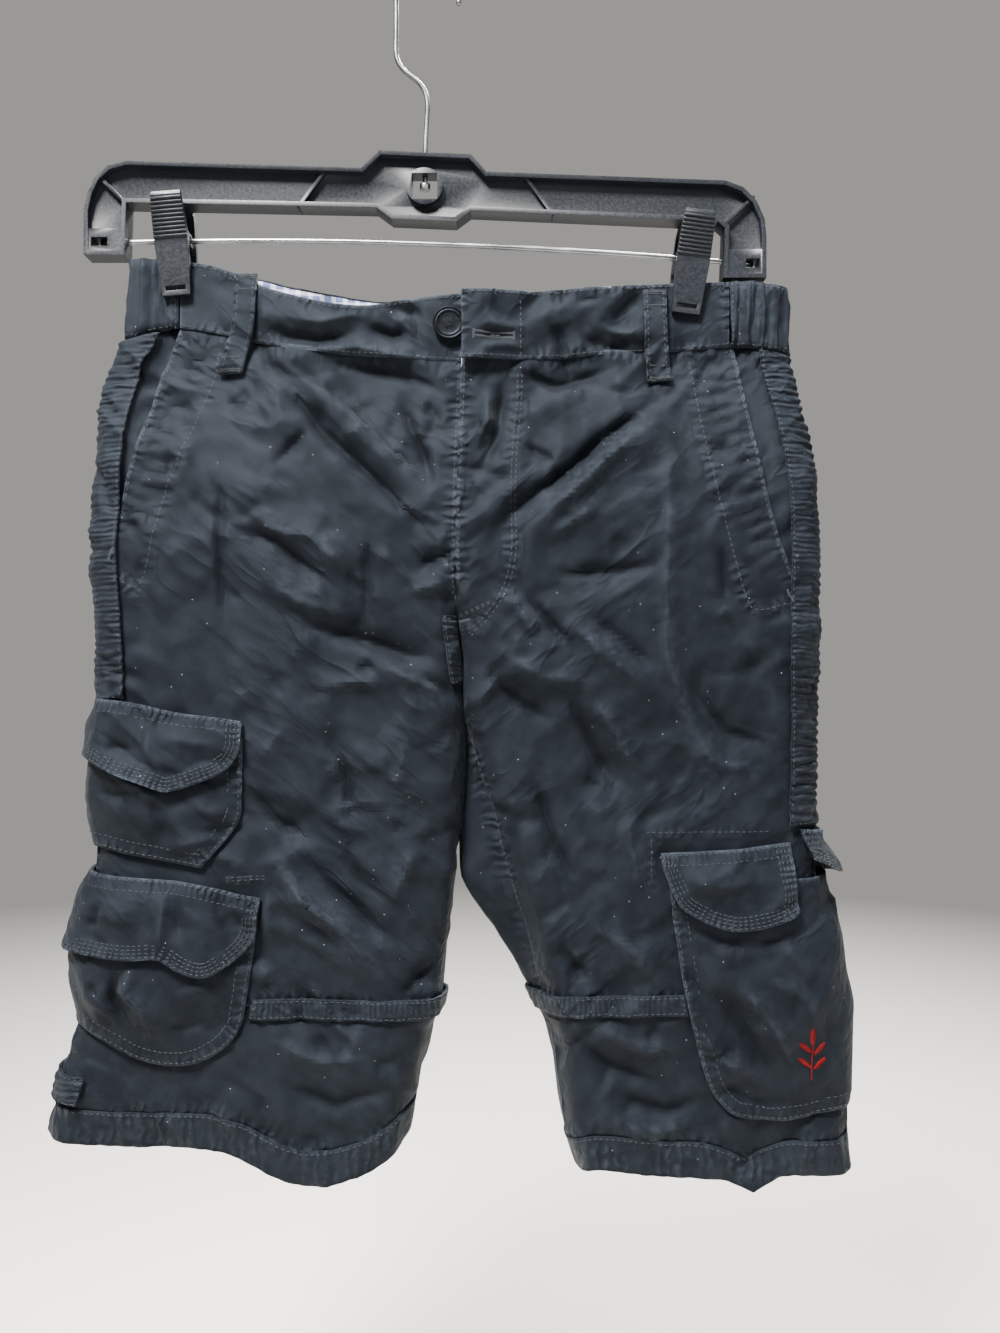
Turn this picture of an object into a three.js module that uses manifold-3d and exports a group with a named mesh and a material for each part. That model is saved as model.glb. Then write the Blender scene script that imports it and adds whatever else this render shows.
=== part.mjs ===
import * as THREE from 'three';
import { mergeVertices } from 'three/addons/utils/BufferGeometryUtils.js';
import Module from 'manifold-3d';

const wasm = await Module();
wasm.setup();

// Boys' cargo shorts hung by the waistband on a clip hanger, in millimetres.
// +Z is up, the front of the shorts faces -Y, and the origin is the inside top of the hook.
// Right and left are the wearer's: the right leg is on the -X side.

// Cloth walls, and the room left between pieces
const CLOTH = 1.5;
const BAND_CLOTH = 2.1;
const FLAP_CLOTH = 1.8;
const TAPE_CLOTH = 1.3;
const SEAM_GAP = 0.3;
const LAY_GAP = 0.6;

// Heights of the seams that go round
const CROTCH_Z = -396;
const RISE_PINCH_TOP = -322;
const CENTRE_PINCH = 1.8;
const FLY_BOTTOM_Z = -344;
const HEM_HEIGHT = 17.5;
const KNEE_BAND = 10.5;
const KNEE_GAP = 0.9;

// The rounded folds at the two edges of each flattened leg
const EDGE_SPAN = 0.12;
const EDGE_REACH = 0.09;
const EDGE_STEP = EDGE_SPAN / 4;
const FLAT_STEPS = 8;

// Rows of the long panels stand level, so that neighbours meet point to point along a seam
const FIRST_ROW = -217;
const ROW_TOP = -228;
const ROW_STEP = -21;
const ROW_COUNT = 15;

// Side seam: where front and back meet under the felled seam band
const SIDE_SEAM = 0.05;
const BAND_BACK = -0.035;
const BAND_FRONT = 0.128;
// Felled bands of the front rise and the seat start this far round from the centre
const RISE_BAND = 0.925;
const RISE_BAND_END = 0.9875;
const RISE_BAND_FOOT = 17;

// Right half: outer and inner edge, and how far the cloth stands in front of and behind the middle
const RIGHT_SECTIONS = [
  { z: -150, side: -156, inner: 17.6, front: 9, back: 12 },
  { z: -194, side: -156, inner: 18.0, front: 11, back: 14 },
  { z: -207, side: -164, inner: 18.0, front: 14, back: 17 },
  { z: -230, side: -169.5, inner: 17.5, front: 19, back: 21 },
  { z: -260, side: -172, inner: 16.4, front: 22, back: 24 },
  { z: -300, side: -173.5, inner: 15.4, front: 24, back: 26 },
  { z: -340, side: -172, inner: 15.6, front: 24, back: 25 },
  { z: -368, side: -171, inner: 18.2, front: 23, back: 23 },
  { z: -396, side: -171, inner: 22.2, front: 22, back: 21 },
  { z: -440, side: -171.5, inner: 19.3, front: 23, back: 20 },
  { z: -475, side: -173, inner: 15.7, front: 24, back: 20 },
  { z: -511, side: -177, inner: 12.1, front: 24, back: 20 },
  { z: -540, side: -181, inner: 8.6, front: 23, back: 20 },
  { z: -570, side: -187, inner: 0.5, front: 25, back: 21 },
  { z: -597, side: -194, inner: -6.0, front: 26, back: 22 },
  { z: -640, side: -204, inner: -9.5, front: 26, back: 22 },
];

const LEFT_SECTIONS = [
  { z: -150, side: 188, inner: 17.9, front: 9, back: 12 },
  { z: -194, side: 188, inner: 18.3, front: 11, back: 14 },
  { z: -210, side: 189.5, inner: 18.3, front: 14, back: 17 },
  { z: -230, side: 193, inner: 17.8, front: 19, back: 21 },
  { z: -247, side: 198, inner: 17.2, front: 21, back: 23 },
  { z: -279, side: 201.7, inner: 16.2, front: 23, back: 25 },
  { z: -300, side: 203, inner: 15.7, front: 24, back: 26 },
  { z: -340, side: 202.8, inner: 15.9, front: 24, back: 25 },
  { z: -368, side: 202.3, inner: 18.5, front: 23, back: 23 },
  { z: -396, side: 202.3, inner: 22.9, front: 22, back: 21 },
  { z: -440, side: 201.5, inner: 20.9, front: 23, back: 20 },
  { z: -475, side: 203.5, inner: 18.2, front: 24, back: 20 },
  { z: -494, side: 205.5, inner: 25.5, front: 24, back: 20 },
  { z: -513, side: 208.5, inner: 38.0, front: 24, back: 20 },
  { z: -539, side: 211.7, inner: 53.5, front: 23, back: 20 },
  { z: -568, side: 215.9, inner: 64.0, front: 24, back: 21 },
  { z: -598, side: 217.6, inner: 67.5, front: 25, back: 22 },
  { z: -640, side: 223.0, inner: 80.0, front: 26, back: 22 },
];

// Depth of the waist from end to end, squeezed flat where each clip bites
const WAIST_DEPTH = [
  { x: -160, front: 7.5, back: 7.5 },
  { x: -149, front: 6.0, back: 6.0 },
  { x: -141, front: 3.5, back: 3.5 },
  { x: -116, front: 3.5, back: 3.5 },
  { x: -96, front: 6.5, back: 8.5 },
  { x: -55, front: 14, back: 17 },
  { x: -12, front: 12, back: 19 },
  { x: 30, front: 10.5, back: 19 },
  { x: 75, front: 8.5, back: 15 },
  { x: 112, front: 4.2, back: 6 },
  { x: 122, front: 3.5, back: 3.5 },
  { x: 148, front: 3.5, back: 3.5 },
  { x: 168, front: 6.5, back: 7 },
  { x: 192, front: 8, back: 8 },
];
const WAIST_DEPTH_FROM = -198;
const WAIST_DEPTH_TO = -276;

// Waistband edges along X, front and back
const BAND_FRONT_EDGES = [
  { x: -158, top: -157.2, bottom: -200.0 },
  { x: -144, top: -157.7, bottom: -196.0 },
  { x: -129, top: -158.3, bottom: -193.4 },
  { x: -101, top: -163.4, bottom: -198.4 },
  { x: -85, top: -174.0, bottom: -203.2 },
  { x: -66, top: -179.4, bottom: -206.8 },
  { x: -46, top: -184.3, bottom: -209.4 },
  { x: -23, top: -186.0, bottom: -211.3 },
  { x: -13, top: -180.5, bottom: -212.0 },
  { x: 5, top: -179.0, bottom: -212.7 },
  { x: 18, top: -177.8, bottom: -213.4 },
  { x: 59, top: -175.4, bottom: -211.8 },
  { x: 90, top: -172.6, bottom: -207.6 },
  { x: 124, top: -170.3, bottom: -205.6 },
  { x: 158, top: -169.7, bottom: -203.6 },
  { x: 182, top: -171.8, bottom: -206.2 },
  { x: 190, top: -172.6, bottom: -207.8 },
];
const BAND_BACK_EDGES = [
  { x: -158, top: -157.2, bottom: -200.0 },
  { x: -130, top: -157.6, bottom: -197.0 },
  { x: -104, top: -160.5, bottom: -199.5 },
  { x: -88, top: -164.4, bottom: -203.4 },
  { x: -62, top: -167.3, bottom: -206.3 },
  { x: -43, top: -171.8, bottom: -210.0 },
  { x: -22, top: -172.6, bottom: -211.6 },
  { x: 28, top: -170.4, bottom: -209.4 },
  { x: 75, top: -170.2, bottom: -208.0 },
  { x: 125, top: -168.2, bottom: -205.0 },
  { x: 160, top: -168.8, bottom: -204.0 },
  { x: 190, top: -172.6, bottom: -207.8 },
];

// Knee seams and hems along X
const RIGHT_KNEE = [
  { x: -200, z: -540.0 },
  { x: 12, z: -542.0 },
];
const LEFT_KNEE = [
  { x: 50, z: -540.6 },
  { x: 216, z: -536.4 },
];
const RIGHT_HEM = [
  { x: -205, z: -607 },
  { x: -157, z: -611 },
  { x: -100, z: -612.5 },
  { x: -86, z: -620 },
  { x: -68, z: -630 },
  { x: -54, z: -632 },
  { x: -36, z: -629 },
  { x: -10, z: -615 },
  { x: -2, z: -610 },
];
const RIGHT_HEM_BACK = [
  { x: -205, z: -607 },
  { x: -120, z: -610 },
  { x: -60, z: -618 },
  { x: -2, z: -610 },
];
const LEFT_HEM = [
  { x: 70, z: -629 },
  { x: 84, z: -623 },
  { x: 116, z: -626 },
  { x: 150, z: -627 },
  { x: 159, z: -635 },
  { x: 168, z: -632 },
  { x: 182, z: -624 },
  { x: 200, z: -627 },
  { x: 224, z: -623 },
];
const LEFT_HEM_BACK = [
  { x: 70, z: -629 },
  { x: 120, z: -628 },
  { x: 180, z: -626 },
  { x: 224, z: -623 },
];

// Slanted hip pockets: the mouth along Z
const RIGHT_MOUTH = [
  { z: -190, x: -127.5 },
  { z: -208, x: -134.5 },
  { z: -232, x: -141.0 },
  { z: -259, x: -147.3 },
  { z: -282, x: -153.0 },
  { z: -302, x: -158.0 },
  { z: -330, x: -166.0 },
];
const LEFT_MOUTH = [
  { z: -198, x: 159.0 },
  { z: -208, x: 160.4 },
  { z: -232, x: 164.0 },
  { z: -267, x: 169.4 },
  { z: -303, x: 177.5 },
  { z: -330, x: 188.5 },
  { z: -350, x: 198.0 },
];
const MOUTH_END = { right: -313, left: -332 };
const FACING_UNDER = 6.5;
const FACING_STEP = 8;
const FACING_SINK = 2.3;
const FACING_CLOTH = 1.1;
const FACING_COLUMNS = 9;
const FACING_MIDDLE = -260;
const MOUTH_LIFT = 1.2;

// Inseam of the left leg as a share of the girth: it shows on the front, with the back beyond it
const LEFT_INSEAM = [
  { z: -396, girth: 1.0 },
  { z: -417, girth: 0.93 },
  { z: -438, girth: 0.89 },
  { z: -478, girth: 0.835 },
  { z: -514, girth: 0.88 },
  { z: -542, girth: 0.93 },
  { z: -575, girth: 0.96 },
  { z: -640, girth: 0.96 },
];
const INSEAM_SHOULDER = 13;
const INSEAM_LOW = 6;
const RIGHT_INSEAM_WRAP = 0.07;

// Main folds as ridges (height over zero) and troughs, each a line from one end to the other
const FRONT_FOLDS = [
  { x1: -84, z1: -206, x2: 6, z2: -232, width: 26, height: -2.2 },
  { x1: -88, z1: -212, x2: 12, z2: -318, width: 30, height: 3.0 },
  { x1: -52, z1: -226, x2: 6, z2: -286, width: 26, height: -2.6 },
  { x1: -104, z1: -298, x2: -38, z2: -338, width: 34, height: 3.0 },
  { x1: -106, z1: -312, x2: -104, z2: -364, width: 26, height: -2.4 },
  { x1: 124, z1: -224, x2: 40, z2: -290, width: 34, height: 3.6 },
  { x1: 66, z1: -262, x2: 34, z2: -330, width: 28, height: -2.8 },
  { x1: 44, z1: -344, x2: 106, z2: -396, width: 32, height: 3.4 },
  { x1: 68, z1: -382, x2: 100, z2: -438, width: 30, height: -3.0 },
  { x1: 96, z1: -332, x2: 112, z2: -420, width: 32, height: 2.8 },
  { x1: -78, z1: -468, x2: -20, z2: -528, width: 36, height: 4.0 },
  { x1: -64, z1: -440, x2: -4, z2: -500, width: 34, height: -2.8 },
  { x1: -14, z1: -398, x2: -34, z2: -452, width: 28, height: 2.6 },
  { x1: 78, z1: -452, x2: 102, z2: -524, width: 36, height: -3.0 },
  { x1: 104, z1: -440, x2: 92, z2: -500, width: 30, height: 2.6 },
  { x1: -70, z1: -556, x2: -10, z2: -588, width: 28, height: 2.4 },
  { x1: 78, z1: -560, x2: 118, z2: -598, width: 30, height: -2.4 },
];
const BACK_FOLDS = [
  { x1: -80, z1: -226, x2: -16, z2: -312, width: 40, height: 3.4 },
  { x1: -120, z1: -262, x2: -62, z2: -352, width: 38, height: -3.0 },
  { x1: -44, z1: -318, x2: 4, z2: -380, width: 30, height: 2.8 },
  { x1: 122, z1: -232, x2: 62, z2: -330, width: 42, height: 3.6 },
  { x1: 150, z1: -284, x2: 92, z2: -384, width: 38, height: -3.2 },
  { x1: 78, z1: -324, x2: 40, z2: -382, width: 30, height: 2.6 },
  { x1: -78, z1: -420, x2: -28, z2: -512, width: 36, height: 3.4 },
  { x1: -50, z1: -400, x2: -10, z2: -470, width: 30, height: -2.6 },
  { x1: 112, z1: -410, x2: 82, z2: -516, width: 38, height: 3.2 },
  { x1: 70, z1: -412, x2: 56, z2: -476, width: 28, height: -2.6 },
];

// Cloth stays even under what is sewn on it
const FRONT_QUIET = [
  { x1: -210, x2: -88, z1: -590, z2: -384 },
  { x1: 112, x2: 230, z1: -612, z2: -444 },
  { x1: 6, x2: 34, z1: -400, z2: -180 },
  { x1: -108, x2: -80, z1: -226, z2: -150 },
  { x1: 108, x2: 132, z1: -228, z2: -150 },
  { x1: -210, x2: 230, z1: -553, z2: -531 },
];
const BACK_QUIET = [
  { x1: -210, x2: -94, z1: -590, z2: -384 },
  { x1: 128, x2: 230, z1: -612, z2: -444 },
  { x1: 4, x2: 34, z1: -400, z2: -180 },
  { x1: -210, x2: 230, z1: -553, z2: -531 },
];
const QUIET_FADE = 16;
const FOLDS_FROM = -212;

// Leg pockets. Across is the distance from the side fold, under zero on the back.
const RIGHT_UPPER_POCKET = {
  bulge: 6.5,
  outline: [
    { across: -66, top: -404, bottom: -446 },
    { across: -52, top: -404, bottom: -464 },
    { across: -20, top: -404, bottom: -462 },
    { across: 8, top: -404, bottom: -461 },
    { across: 24, top: -404, bottom: -465 },
    { across: 43, top: -404.5, bottom: -468 },
    { across: 60, top: -405, bottom: -471.5 },
    { across: 79, top: -406, bottom: -449 },
  ],
  flap: [
    { across: -70, top: -388, bottom: -408 },
    { across: -46, top: -388, bottom: -430 },
    { across: -18, top: -387, bottom: -420 },
    { across: 4, top: -386, bottom: -414.5 },
    { across: 17, top: -387, bottom: -423.5 },
    { across: 31, top: -389.5, bottom: -428 },
    { across: 44, top: -393, bottom: -433.6 },
    { across: 73, top: -396.5, bottom: -423 },
    { across: 79, top: -397.8, bottom: -411 },
  ],
};
const RIGHT_LOWER_POCKET = {
  bulge: 8,
  outline: [
    { across: -72, top: -490, bottom: -538 },
    { across: -58, top: -490, bottom: -560 },
    { across: -22, top: -490, bottom: -556 },
    { across: 4, top: -490, bottom: -551 },
    { across: 26, top: -491, bottom: -562 },
    { across: 42, top: -492, bottom: -570 },
    { across: 74, top: -494, bottom: -570.5 },
    { across: 91, top: -496, bottom: -552 },
  ],
  flap: [
    { across: -74, top: -476, bottom: -500 },
    { across: -48, top: -476, bottom: -522 },
    { across: -20, top: -475, bottom: -512 },
    { across: 8, top: -474, bottom: -512.5 },
    { across: 30, top: -476, bottom: -515 },
    { across: 47, top: -477, bottom: -513.5 },
    { across: 53, top: -477.5, bottom: -521.5 },
    { across: 67, top: -480.5, bottom: -526 },
    { across: 88, top: -485.5, bottom: -512 },
    { across: 92, top: -486.5, bottom: -503 },
  ],
};
const LEFT_POCKET = {
  bulge: 8,
  outline: [
    { across: -68, top: -476, bottom: -556 },
    { across: -58, top: -476, bottom: -584 },
    { across: -22, top: -476, bottom: -590 },
    { across: 10, top: -476, bottom: -593 },
    { across: 27, top: -476, bottom: -597 },
    { across: 44, top: -477, bottom: -598 },
    { across: 60, top: -478, bottom: -594 },
    { across: 70, top: -478, bottom: -583 },
    { across: 76, top: -478, bottom: -562 },
    { across: 81, top: -478, bottom: -530 },
  ],
  flap: [
    { across: 19, top: -458, bottom: -492 },
    { across: 25, top: -459, bottom: -498 },
    { across: 56, top: -462.5, bottom: -504 },
    { across: 79, top: -463.5, bottom: -489 },
    { across: 84, top: -463.8, bottom: -471 },
  ],
  rearFlap: [
    { across: -70, top: -460, bottom: -480 },
    { across: -42, top: -459, bottom: -500 },
    { across: -8, top: -455, bottom: -486 },
    { across: 6, top: -453, bottom: -472 },
    { across: 13, top: -452, bottom: -466 },
  ],
  rearFlare: 5,
};
const POCKET_MOUTH_SHARE = 0.35;
const FLAP_OVER = 1.4;
const POCKET_GAP = 0.75;

// Fly and button
const FLY_LIFT = 1.8;
const FLY_FLAT = 19;
const FLY_RAMP = 12;
const SHIELD_END = 0.885;
const SHIELD_BOTTOM = -312;
const BAND_END_LIFT = 7.2;
const BAND_END_FLAT = 8;
const BAND_END_RAMP = 22;
const BAND_LEVEL = 0.8;
const BUTTON = { x: 11.6, z: -193.8, radius: 8.4, thick: 2.6, shank: 3.2 };

// Belt loops: middle of the loop along X and its two ends
const LOOP_WIDTH = 12;
const LOOP_STAND = 1.6;
const BELT_LOOPS = [
  { name: 'belt_loop_right_front', half: 'right', face: 1, x: -93.4, top: -166.9, bottom: -219 },
  { name: 'belt_loop_left_front', half: 'left', face: 1, x: 118.6, top: -174, bottom: -223 },
  { name: 'belt_loop_right_back', half: 'right', face: -1, x: -84, top: -168, bottom: -217 },
  { name: 'belt_loop_centre_back', half: 'left', face: -1, x: 28, top: -173, bottom: -220 },
  { name: 'belt_loop_left_back', half: 'left', face: -1, x: 106, top: -172, bottom: -217 },
];

// Gathered ends of the waistband
const GATHER_FROM = { right: -129.5, left: 157.5 };
const GATHER_BACK_REACH = 34;
const GATHER_DEPTH = 0.8;
const GATHER_PITCH = 5.6;

// Hanger: plastic body outline, rim, ribs, hook wire, rod and clips
const HANGER_DEPTH = 12;
const HANGER_WEB = 3.2;
const HANGER_RIM = 2.2;
const HANGER_OUTLINE = [
  { x: -178.8, z: -155.6 },
  { x: -178.8, z: -132.2 },
  { x: -176.6, z: -122.6 },
  { x: -173.0, z: -115.4 },
  { x: -166.5, z: -109.3 },
  { x: -156.7, z: -106.7 },
  { x: -34.5, z: -110.4 },
  { x: -25.1, z: -101.3 },
  { x: 22.7, z: -103.4 },
  { x: 31.0, z: -112.5 },
  { x: 155.1, z: -117.1 },
  { x: 164.6, z: -120.6 },
  { x: 171.4, z: -127.8 },
  { x: 175.4, z: -136.8 },
  { x: 176.4, z: -146.0 },
  { x: 176.4, z: -167.6 },
  { x: 154.0, z: -167.6 },
  { x: 154.8, z: -141.6 },
  { x: 150.9, z: -138.2 },
  { x: 131.4, z: -137.4 },
  { x: 22.7, z: -132.6 },
  { x: 14.9, z: -138.3 },
  { x: -18.6, z: -136.9 },
  { x: -26.7, z: -131.0 },
  { x: -156.7, z: -128.4 },
  { x: -157.6, z: -155.6 },
];
const HANGER_RIBS = [
  { x1: -172.0, z1: -113.5, x2: -156.7, z2: -129.0 },
  { x1: -52.4, z1: -110.0, x2: -67.8, z2: -130.5 },
  { x1: 49.9, z1: -113.0, x2: 65.9, z2: -134.6 },
  { x1: 170.5, z1: -124.5, x2: 154.4, z2: -139.5 },
];
// Solid foot at each end of the body, with a small window through it
const END_BLOCKS = [
  {
    x1: -178.8, x2: -157.6, z1: -155.6, z2: -141.8,
    window: { x1: -175.1, x2: -166.6, z1: -150.9, z2: -146.3 },
  },
  {
    x1: 154.0, x2: 176.4, z1: -167.6, z2: -152.6,
    window: { x1: 165.9, x2: 172.9, z1: -162.4, z2: -157.5 },
  },
];
const RIB_WIDTH = 1.6;
const WIRE_PLAY = 0.35;
const WINDOW = { x: -1.6, z: -119.4, width: 13.2, height: 13.4 };
const BOSS_RADIUS = 9.6;
const WIRE = 2.4;
const WIRE_FOOT_Z = -121.5;
const HOOK_RADIUS = 16.9;
const HOOK_X = 0.2;
const ROD = 2.8;
const ROD_BORE = 2.0;
const ROD_POINTS = [
  { x: -171.5, z: -147.4 },
  { x: -132, z: -146.6 },
  { x: -60, z: -146.4 },
  { x: 16, z: -148.6 },
  { x: 84, z: -152.2 },
  { x: 138, z: -156.0 },
  { x: 170.5, z: -158.8 },
];
const CLIPS = [
  { side: 'right', x: -132.6, z: -146.6, lean: -4.7 },
  { side: 'left', x: 138.2, z: -156.0, lean: 7.6 },
];
const CLIP_WIDTH = 16.6;
const CLIP_TOP = 21.5;
const CLIP_BOTTOM = -30.8;
const CLIP_GRIP = 4.9;
const CLIP_RIDGES = 10;

const FINISHES = {
  cloth: new THREE.MeshStandardMaterial({ color: 0x23272d, roughness: 0.92, metalness: 0 }),
  facing: new THREE.MeshStandardMaterial({ color: 0xb9bfd2, roughness: 0.9, metalness: 0 }),
  plastic: new THREE.MeshStandardMaterial({ color: 0x2b2f36, roughness: 0.42, metalness: 0 }),
  steel: new THREE.MeshStandardMaterial({ color: 0xb4b6b8, roughness: 0.3, metalness: 1 }),
  gunmetal: new THREE.MeshStandardMaterial({ color: 0x33363b, roughness: 0.4, metalness: 0.9 }),
};

const garment = new THREE.Group();

function add(name, geometry, finish) {
  const mesh = new THREE.Mesh(geometry, FINISHES[finish].clone());
  mesh.name = name;
  garment.add(mesh);
  return mesh;
}

const clamp = (v, low = 0, high = 1) => Math.min(Math.max(v, low), high);
const mix = (a, b, t) => a + (b - a) * t;
const smooth = (t) => clamp(t) ** 2 * (3 - 2 * clamp(t));

// A smooth curve through one column of a table, held level past its ends
function curveOf(table, key, column) {
  const rows = [...table].sort((a, b) => a[key] - b[key]);
  const at = rows.map((row) => row[key]);
  const value = rows.map((row) => row[column]);
  const last = rows.length - 1;
  const slope = rows.map((row, i) => {
    const a = Math.max(i - 1, 0);
    const b = Math.min(i + 1, last);
    return (value[b] - value[a]) / (at[b] - at[a]);
  });
  return (v) => {
    if (v <= at[0]) return value[0];
    if (v >= at[last]) return value[last];
    let i = 0;
    while (v > at[i + 1]) i += 1;
    const h = at[i + 1] - at[i];
    const t = (v - at[i]) / h;
    return value[i] * (1 + 2 * t) * (1 - t) ** 2 + value[i + 1] * t ** 2 * (3 - 2 * t)
      + h * (slope[i] * t * (1 - t) ** 2 - slope[i + 1] * t ** 2 * (1 - t));
  };
}

// Straight lines through one column of a table, for outlines with corners
function lineOf(table, key, column) {
  const rows = [...table].sort((a, b) => a[key] - b[key]);
  return (v) => {
    const last = rows.length - 1;
    if (v <= rows[0][key]) return rows[0][column];
    if (v >= rows[last][key]) return rows[last][column];
    let i = 0;
    while (v > rows[i + 1][key]) i += 1;
    const t = (v - rows[i][key]) / (rows[i + 1][key] - rows[i][key]);
    return mix(rows[i][column], rows[i + 1][column], t);
  };
}

function halfOf(table, turn) {
  return {
    turn,
    side: curveOf(table, 'z', 'side'),
    inner: curveOf(table, 'z', 'inner'),
    front: curveOf(table, 'z', 'front'),
    back: curveOf(table, 'z', 'back'),
  };
}
const HALVES = { right: halfOf(RIGHT_SECTIONS, 1), left: halfOf(LEFT_SECTIONS, -1) };
const waistFront = curveOf(WAIST_DEPTH, 'x', 'front');
const waistBack = curveOf(WAIST_DEPTH, 'x', 'back');
const leftInseam = curveOf(LEFT_INSEAM, 'z', 'girth');

// Share of the half's width reached by the girth coordinate u: 0 at the side fold, 1 at the inner edge
function reachOf(u) {
  if (u < EDGE_SPAN) return EDGE_REACH * (1 - Math.cos((Math.PI * u) / (2 * EDGE_SPAN)));
  if (u > 1 - EDGE_SPAN) return 1 - reachOf(1 - u);
  return EDGE_REACH + ((u - EDGE_SPAN) * (1 - 2 * EDGE_REACH)) / (1 - 2 * EDGE_SPAN);
}

function girthOf(share) {
  const s = clamp(share);
  if (s < EDGE_REACH) return (2 * EDGE_SPAN * Math.acos(1 - s / EDGE_REACH)) / Math.PI;
  if (s > 1 - EDGE_REACH) return 1 - girthOf(1 - s);
  return EDGE_SPAN + ((s - EDGE_REACH) * (1 - 2 * EDGE_SPAN)) / (1 - 2 * EDGE_REACH);
}

const widthAt = (half, z) => Math.abs(half.inner(z) - half.side(z));
const xAt = (half, u, z) => mix(half.side(z), half.inner(z), reachOf(Math.abs(u)));
const uAtX = (half, x, z) => girthOf((x - half.side(z)) / (half.inner(z) - half.side(z)));
const uAcross = (half, across, z) => Math.sign(across) * girthOf(Math.abs(across) / widthAt(half, z));
const acrossAt = (half, u, z) => Math.sign(u) * reachOf(Math.abs(u)) * widthAt(half, z);

function quietAt(zones, x, z) {
  let calm = 1;
  for (const zone of zones) {
    const dx = Math.max(zone.x1 - x, x - zone.x2, 0);
    const dz = Math.max(zone.z1 - z, z - zone.z2, 0);
    calm = Math.min(calm, smooth(Math.hypot(dx, dz) / QUIET_FADE));
  }
  return calm;
}

function foldAt(folds, x, z) {
  let rise = 0;
  for (const fold of folds) {
    const length = Math.hypot(fold.x2 - fold.x1, fold.z2 - fold.z1);
    const ux = (fold.x2 - fold.x1) / length;
    const uz = (fold.z2 - fold.z1) / length;
    const along = ((x - fold.x1) * ux + (z - fold.z1) * uz) / length;
    const off = Math.abs((x - fold.x1) * uz - (z - fold.z1) * ux);
    if (off < fold.width && along > -0.2 && along < 1.2) {
      const taper = smooth((along + 0.2) / 0.45) * smooth((1.2 - along) / 0.45);
      rise += (fold.height * taper * (1 + Math.cos((Math.PI * off) / fold.width))) / 2;
    }
  }
  return rise;
}

// Depth of the cloth from the middle plane
function depthAt(half, u, z, x) {
  const isFront = u >= 0;
  const far = Math.abs(u);
  const hang = isFront ? half.front(z) : half.back(z);
  const waist = isFront ? waistFront(x) : waistBack(x);
  let depth = mix(waist, hang, smooth((WAIST_DEPTH_FROM - z) / (WAIST_DEPTH_FROM - WAIST_DEPTH_TO)));
  if (isFront && half === HALVES.left && z < CROTCH_Z) {
    const past = (x - xAt(half, leftInseam(z), z)) / INSEAM_SHOULDER + 0.3;
    const opened = smooth((CROTCH_Z - z) / 24) * smooth((-604 - z) / -40);
    depth = mix(depth, mix(INSEAM_LOW, depth, smooth(past)), opened);
  }
  if (far < EDGE_SPAN) depth *= Math.sin((Math.PI * far) / (2 * EDGE_SPAN));
  if (far > 1 - EDGE_SPAN) {
    const round = Math.sin((Math.PI * (1 - far)) / (2 * EDGE_SPAN));
    const closed = smooth((RISE_PINCH_TOP - z) / (RISE_PINCH_TOP - CROTCH_Z));
    depth *= mix(1, round, closed);
    if (z > CROTCH_Z - 0.1) depth = Math.max(depth, CENTRE_PINCH);
  }
  const folds = isFront ? FRONT_FOLDS : BACK_FOLDS;
  const zones = isFront ? FRONT_QUIET : BACK_QUIET;
  const calm = quietAt(zones, x, z) * smooth(far / 0.2) * smooth((1.02 - far) / 0.14);
  return depth + foldAt(folds, x, z) * calm * smooth((FOLDS_FROM - z) / 16);
}

// Past 1 or -1 the girth goes on round the inner edge
function wrapped(girth) {
  if (girth > 1) return girth - 2;
  return girth < -1 ? girth + 2 : girth;
}

// A point of the cloth's outer face
function skinAt(half, girth, z) {
  const u = wrapped(girth);
  const x = xAt(half, u, z);
  const depth = depthAt(half, u, z, x);
  return new THREE.Vector3(x, u >= 0 ? -depth : depth, z);
}

function normalAt(half, girth, z) {
  const du = 0.006;
  const dz = 1.0;
  const open = z > CROTCH_Z - 0.5;
  const high = open ? Math.min(girth + du, 1) : girth + du;
  const low = open && girth > -1.001 ? Math.max(girth - du, -1) : girth - du;
  const across = skinAt(half, high, z).sub(skinAt(half, low, z));
  const down = skinAt(half, girth, z + dz).sub(skinAt(half, girth, z - dz));
  const normal = across.cross(down).normalize().multiplyScalar(half.turn);
  // The two halves' edges face each other squarely along the centre line
  if (open) normal.setX(normal.x * smooth((1 - Math.abs(girth)) / EDGE_SPAN)).normalize();
  return normal;
}

// Closed wall between an outer grid of points and the same grid moved in
function wallGeometry(outer, inner, ring) {
  const rows = outer.length;
  const cols = outer[0].length;
  const points = [...outer.flat(), ...inner.flat()];
  const index = [];
  const quad = (a, b, c, d) => index.push(a, b, c, a, c, d);
  const out = (r, c) => r * cols + (c % cols);
  const inn = (r, c) => rows * cols + out(r, c);
  const across = ring ? cols : cols - 1;
  for (let r = 0; r < rows - 1; r += 1) {
    for (let c = 0; c < across; c += 1) {
      quad(out(r, c), out(r + 1, c), out(r + 1, c + 1), out(r, c + 1));
      quad(inn(r, c), inn(r, c + 1), inn(r + 1, c + 1), inn(r + 1, c));
    }
  }
  for (let c = 0; c < across; c += 1) {
    quad(out(0, c), out(0, c + 1), inn(0, c + 1), inn(0, c));
    quad(out(rows - 1, c), inn(rows - 1, c), inn(rows - 1, c + 1), out(rows - 1, c + 1));
  }
  if (!ring) {
    for (let r = 0; r < rows - 1; r += 1) {
      quad(out(r, 0), inn(r, 0), inn(r + 1, 0), out(r + 1, 0));
      quad(out(r, cols - 1), out(r + 1, cols - 1), inn(r + 1, cols - 1), inn(r, cols - 1));
    }
  }
  return outward(points, index);
}

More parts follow.
